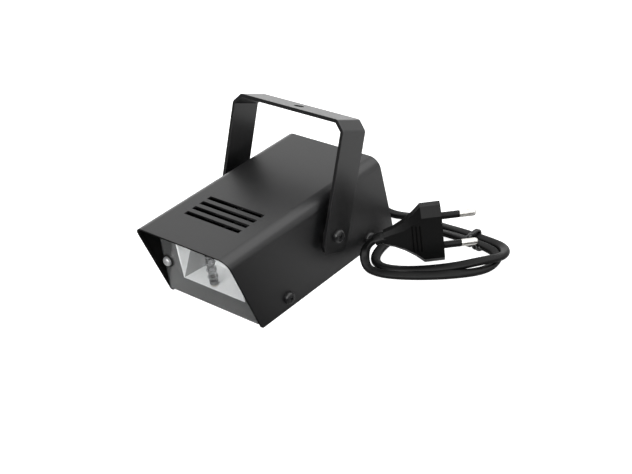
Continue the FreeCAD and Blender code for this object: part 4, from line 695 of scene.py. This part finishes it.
def loop_tree():
    """One coated wire wound round an oblong bundle, turns side by side."""
    tree, given = geometry_tree("wound_wire", [
        ("Wire", "NodeSocketFloat", mm(1)), ("Turns", "NodeSocketFloat", 2.0),
        ("Half Size", "NodeSocketVector", None), ("Middle", "NodeSocketVector", None),
        ("Material", "NodeSocketMaterial", None)])
    pitch = add(tree, "ShaderNodeMath", {"operation": "MULTIPLY"}, {0: given["Wire"], 1: given["Turns"]})
    coil = add(tree, "GeometryNodeCurveSpiral", {"Resolution": 60, "Start Radius": 1.0, "End Radius": 1.0},
               {"Rotations": given["Turns"], "Height": pitch.outputs[0]})
    place = add(tree, "GeometryNodeInputPosition")
    split = add(tree, "ShaderNodeSeparateXYZ", links={0: place.outputs[0]})
    size = add(tree, "ShaderNodeSeparateXYZ", links={0: given["Half Size"]})
    squared = []
    for i, axis in ((0, 1), (1, 2)):
        # A flattened ring: each way is stretched by a power of the circle's own, so that the corners fill out.
        size_way = add(tree, "ShaderNodeMath", {"operation": "ABSOLUTE"}, {0: split.outputs[i]})
        fuller = add(tree, "ShaderNodeMath", {"operation": "POWER", 1: 0.6}, {0: size_way.outputs[0]})
        sign = add(tree, "ShaderNodeMath", {"operation": "SIGN"}, {0: split.outputs[i]})
        signed = add(tree, "ShaderNodeMath", {"operation": "MULTIPLY"}, {0: fuller.outputs[0], 1: sign.outputs[0]})
        squared.append(add(tree, "ShaderNodeMath", {"operation": "MULTIPLY"},
                           {0: signed.outputs[0], 1: size.outputs[axis]}).outputs[0])
    wound = add(tree, "ShaderNodeCombineXYZ", links={0: split.outputs[2], 1: squared[0], 2: squared[1]})
    stood = add(tree, "ShaderNodeVectorMath", {"operation": "ADD"}, {0: wound.outputs[0], 1: given["Middle"]})
    laid = add(tree, "GeometryNodeSetPosition", links={"Geometry": coil.outputs[0], "Position": stood.outputs[0]})
    half = add(tree, "ShaderNodeMath", {"operation": "MULTIPLY", 1: 0.5}, {0: given["Wire"]})
    round_wire = add(tree, "GeometryNodeCurvePrimitiveCircle", {"Resolution": 10}, {"Radius": half.outputs[0]})
    wire = add(tree, "GeometryNodeCurveToMesh", {"Fill Caps": True},
               {"Curve": laid.outputs[0], "Profile Curve": round_wire.outputs[0]})
    smooth = add(tree, "GeometryNodeSetShadeSmooth", links={0: wire.outputs[0]})
    close_tree(tree, smooth.outputs[0], given["Material"])
    return tree


def make_tie():
    """Wire wound round the turns of the lead, its two ends twisted together into a tail."""
    wire = mm(1.3)
    tail_places = [(82.4, 65.4, 6.1), (83.8, 63.2, 6.8), (85.8, 61.0, 6.6), (87.4, 59.6, 5.2), (89.2, 59.0, 3.6),
                   (91.2, 59.4, 3.0), (93.2, 59.0, 3.6)]
    stub = bpy.data.meshes.new("tie_loop")
    loop = grown(new_object("tie_loop", stub), loop_tree(), "tie_loop", Wire=wire, Turns=2.5, Material=FINISH["tie"],
                 **{"Half Size": mm(0, 6.2, 2.9), "Middle": mm(80.6, 67.5, 3.1)})
    line = smooth_line("tie_tail", tail_places)
    tail = grown(new_object("tie_tail", line), twisted_tree(), "tie_tail", Wire=wire, Lay=mm(5), Material=FINISH["tie"])
    face_outward(loop.data, tail.data)
    bpy.data.objects.remove(tail)
    loop.name = "twisted_tie"
    return dress(loop, "cord_tie")


tie = make_tie()


# ---------------------------------------------------------------- neck of the plug

def neck_tree():
    """Oval sleeve along a line, narrowing to Tip times its size at the far end."""
    tree, given = geometry_tree("tapered_neck", [
        ("Half Width", "NodeSocketFloat", mm(3)), ("Half Thickness", "NodeSocketFloat", mm(2)),
        ("Tip", "NodeSocketFloat", 0.7), ("Material", "NodeSocketMaterial", None)])
    even = add(tree, "GeometryNodeResampleCurve", {"mode": "LENGTH", "Length": mm(0.4)}, {"Curve": given["Geometry"]})
    upright = add(tree, "GeometryNodeSetCurveNormal", {"mode": "Z_UP"}, {"Curve": even.outputs[0]})
    along = add(tree, "GeometryNodeSplineParameter")
    width = add(tree, "ShaderNodeMapRange", {"From Max": 1.0, "To Min": 1.0},
                {"Value": along.outputs["Factor"], "To Max": given["Tip"]})
    tapered = add(tree, "GeometryNodeSetCurveRadius", links={"Curve": upright.outputs[0], "Radius": width.outputs[0]})
    ring = add(tree, "GeometryNodeCurvePrimitiveCircle", {"Resolution": 28, "Radius": 1.0})
    size = add(tree, "ShaderNodeCombineXYZ", {2: 1.0}, {0: given["Half Width"], 1: given["Half Thickness"]})
    oval = add(tree, "GeometryNodeTransform", links={"Geometry": ring.outputs[0], "Scale": size.outputs[0]})
    swept = add(tree, "GeometryNodeCurveToMesh", {"Fill Caps": True},
                {"Curve": tapered.outputs[0], "Profile Curve": oval.outputs[0]})
    smooth = add(tree, "GeometryNodeSetShadeSmooth", links={0: swept.outputs[0]})
    close_tree(tree, smooth.outputs[0], given["Material"])
    return tree


def make_neck():
    """Soft end of the plug, moulded on round the lead where it bends down."""
    line = smooth_line("plug_neck", [(55.2, 26.5, 17.65), (53.6, 25.05, 17.65), (51.9, 23.5, 17.4), (50.3, 22.0, 16.6)])
    neck = grown(new_object("plug_neck", line), neck_tree(), "plug_neck", Tip=0.74, Material=FINISH["plug"],
                 **{"Half Width": mm(4.0), "Half Thickness": mm(2.9)})
    face_outward(neck.data)
    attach(neck, "case")
    return neck


neck = make_neck()


# ---------------------------------------------------------------- floor, light

def make_floor(half, glow):
    """Square of pale paper that keeps the case's shadow."""
    mesh = bpy.data.meshes.new("floor")
    mesh.from_pydata([(-half, -half, 0), (half, -half, 0), (half, half, 0), (-half, half, 0)], [], [(0, 1, 2, 3)])
    floor = new_object("floor", mesh)
    finish, tree = shader_start("pale_paper_floor")
    paper = add(tree, "ShaderNodeBsdfDiffuse", {"Color": colour("#dcdcdc")})
    white = add(tree, "ShaderNodeEmission", {"Color": colour("#ffffff"), "Strength": glow})
    lit = add(tree, "ShaderNodeAddShader", links={0: paper.outputs[0], 1: white.outputs[0]})
    # In reflections the paper falls off to dark grey in front of the case: painted shade on the floor there, which only
    # reflections show.
    place = add(tree, "ShaderNodeTexCoord").outputs["Object"]
    ahead = add(tree, "ShaderNodeVectorMath", {"operation": "DOT_PRODUCT", 1: (-0.5, 1, 0)}, {0: place})
    behind = add(tree, "ShaderNodeMapRange", {"From Min": mm(-85), "From Max": mm(0), "To Min": 0.0, "To Max": 1.0},
                 {"Value": ahead.outputs["Value"]})
    shade = add(tree, "ShaderNodeMix", {"data_type": "RGBA", 6: colour("#404040"), 7: colour("#f4f4f4")},
                {0: behind.outputs[0]})
    mirrored = add(tree, "ShaderNodeBsdfDiffuse", links={"Color": shade.outputs[2]})
    rays = add(tree, "ShaderNodeLightPath")
    glanced = add(tree, "ShaderNodeMixShader", links={0: rays.outputs["Is Glossy Ray"], 1: paper.outputs[0],
                                                      2: mirrored.outputs[0]})
    seen = add(tree, "ShaderNodeMixShader", links={0: rays.outputs["Is Camera Ray"], 1: glanced.outputs[0],
                                                   2: lit.outputs[0]})
    add(tree, "ShaderNodeOutputMaterial", links={"Surface": seen.outputs[0]})
    mesh.materials.append(finish)


def make_lamp(name, place, aim, size, watts):
    """Softbox of a size in metres, standing at a place and turned to its aim."""
    lamp = bpy.data.lights.new(name, "AREA")
    lamp.shape = "RECTANGLE"
    lamp.size, lamp.size_y = size
    lamp.energy = watts
    piece = new_object(name, lamp)
    piece.location = place
    piece.rotation_mode = "QUATERNION"
    piece.rotation_quaternion = (Vector(aim) - Vector(place)).to_track_quat("-Z", "Y")


def make_studio(ambient):
    """White room whose even light on the case has the strength ambient."""
    world = bpy.data.worlds.new("studio")
    bpy.context.scene.world = world
    world.use_nodes = True
    tree = world.node_tree
    tree.nodes.clear()
    # White where it is seen, straight or through the window; reflections find a dark flag low in front of the case.
    rays = add(tree, "ShaderNodeLightPath")
    way = add(tree, "ShaderNodeTexCoord").outputs["Generated"]
    ahead = add(tree, "ShaderNodeSeparateXYZ", links={0: way}).outputs[1]
    flag = add(tree, "ShaderNodeMapRange", {"From Min": -0.7, "From Max": -0.1, "To Min": 0.15, "To Max": 1.0},
               {"Value": ahead})
    seen = add(tree, "ShaderNodeMath", {"operation": "MAXIMUM"},
               {0: rays.outputs["Is Camera Ray"], 1: rays.outputs["Is Transmission Ray"]})
    glanced = add(tree, "ShaderNodeMix", {"data_type": "FLOAT", 2: ambient},
                  {0: rays.outputs["Is Glossy Ray"], 3: flag.outputs[0]})
    level = add(tree, "ShaderNodeMix", {"data_type": "FLOAT", 3: 1.0}, {0: seen.outputs[0], 2: glanced.outputs[0]})
    sky = add(tree, "ShaderNodeBackground", {"Color": colour("#ffffff")}, {"Strength": level.outputs[0]})
    add(tree, "ShaderNodeOutputWorld", links={"Surface": sky.outputs[0]})
    bpy.context.scene.view_settings.view_transform = "Standard"


make_floor(half=0.6, glow=0.93)
make_lamp("front_softbox", (0.45, -1.25, 0.85), (0, 0, 0), (1.4, 1.0), watts=17)
make_lamp("top_softbox", (0.55, 0.3, 1.45), (0, 0, 0), (2.6, 2.6), watts=27)
make_lamp("rim_strip", (-0.8, 0.95, 0.14), (0, 0, 0.08), (1.1, 0.26), watts=1.5)
make_studio(ambient=0.2)
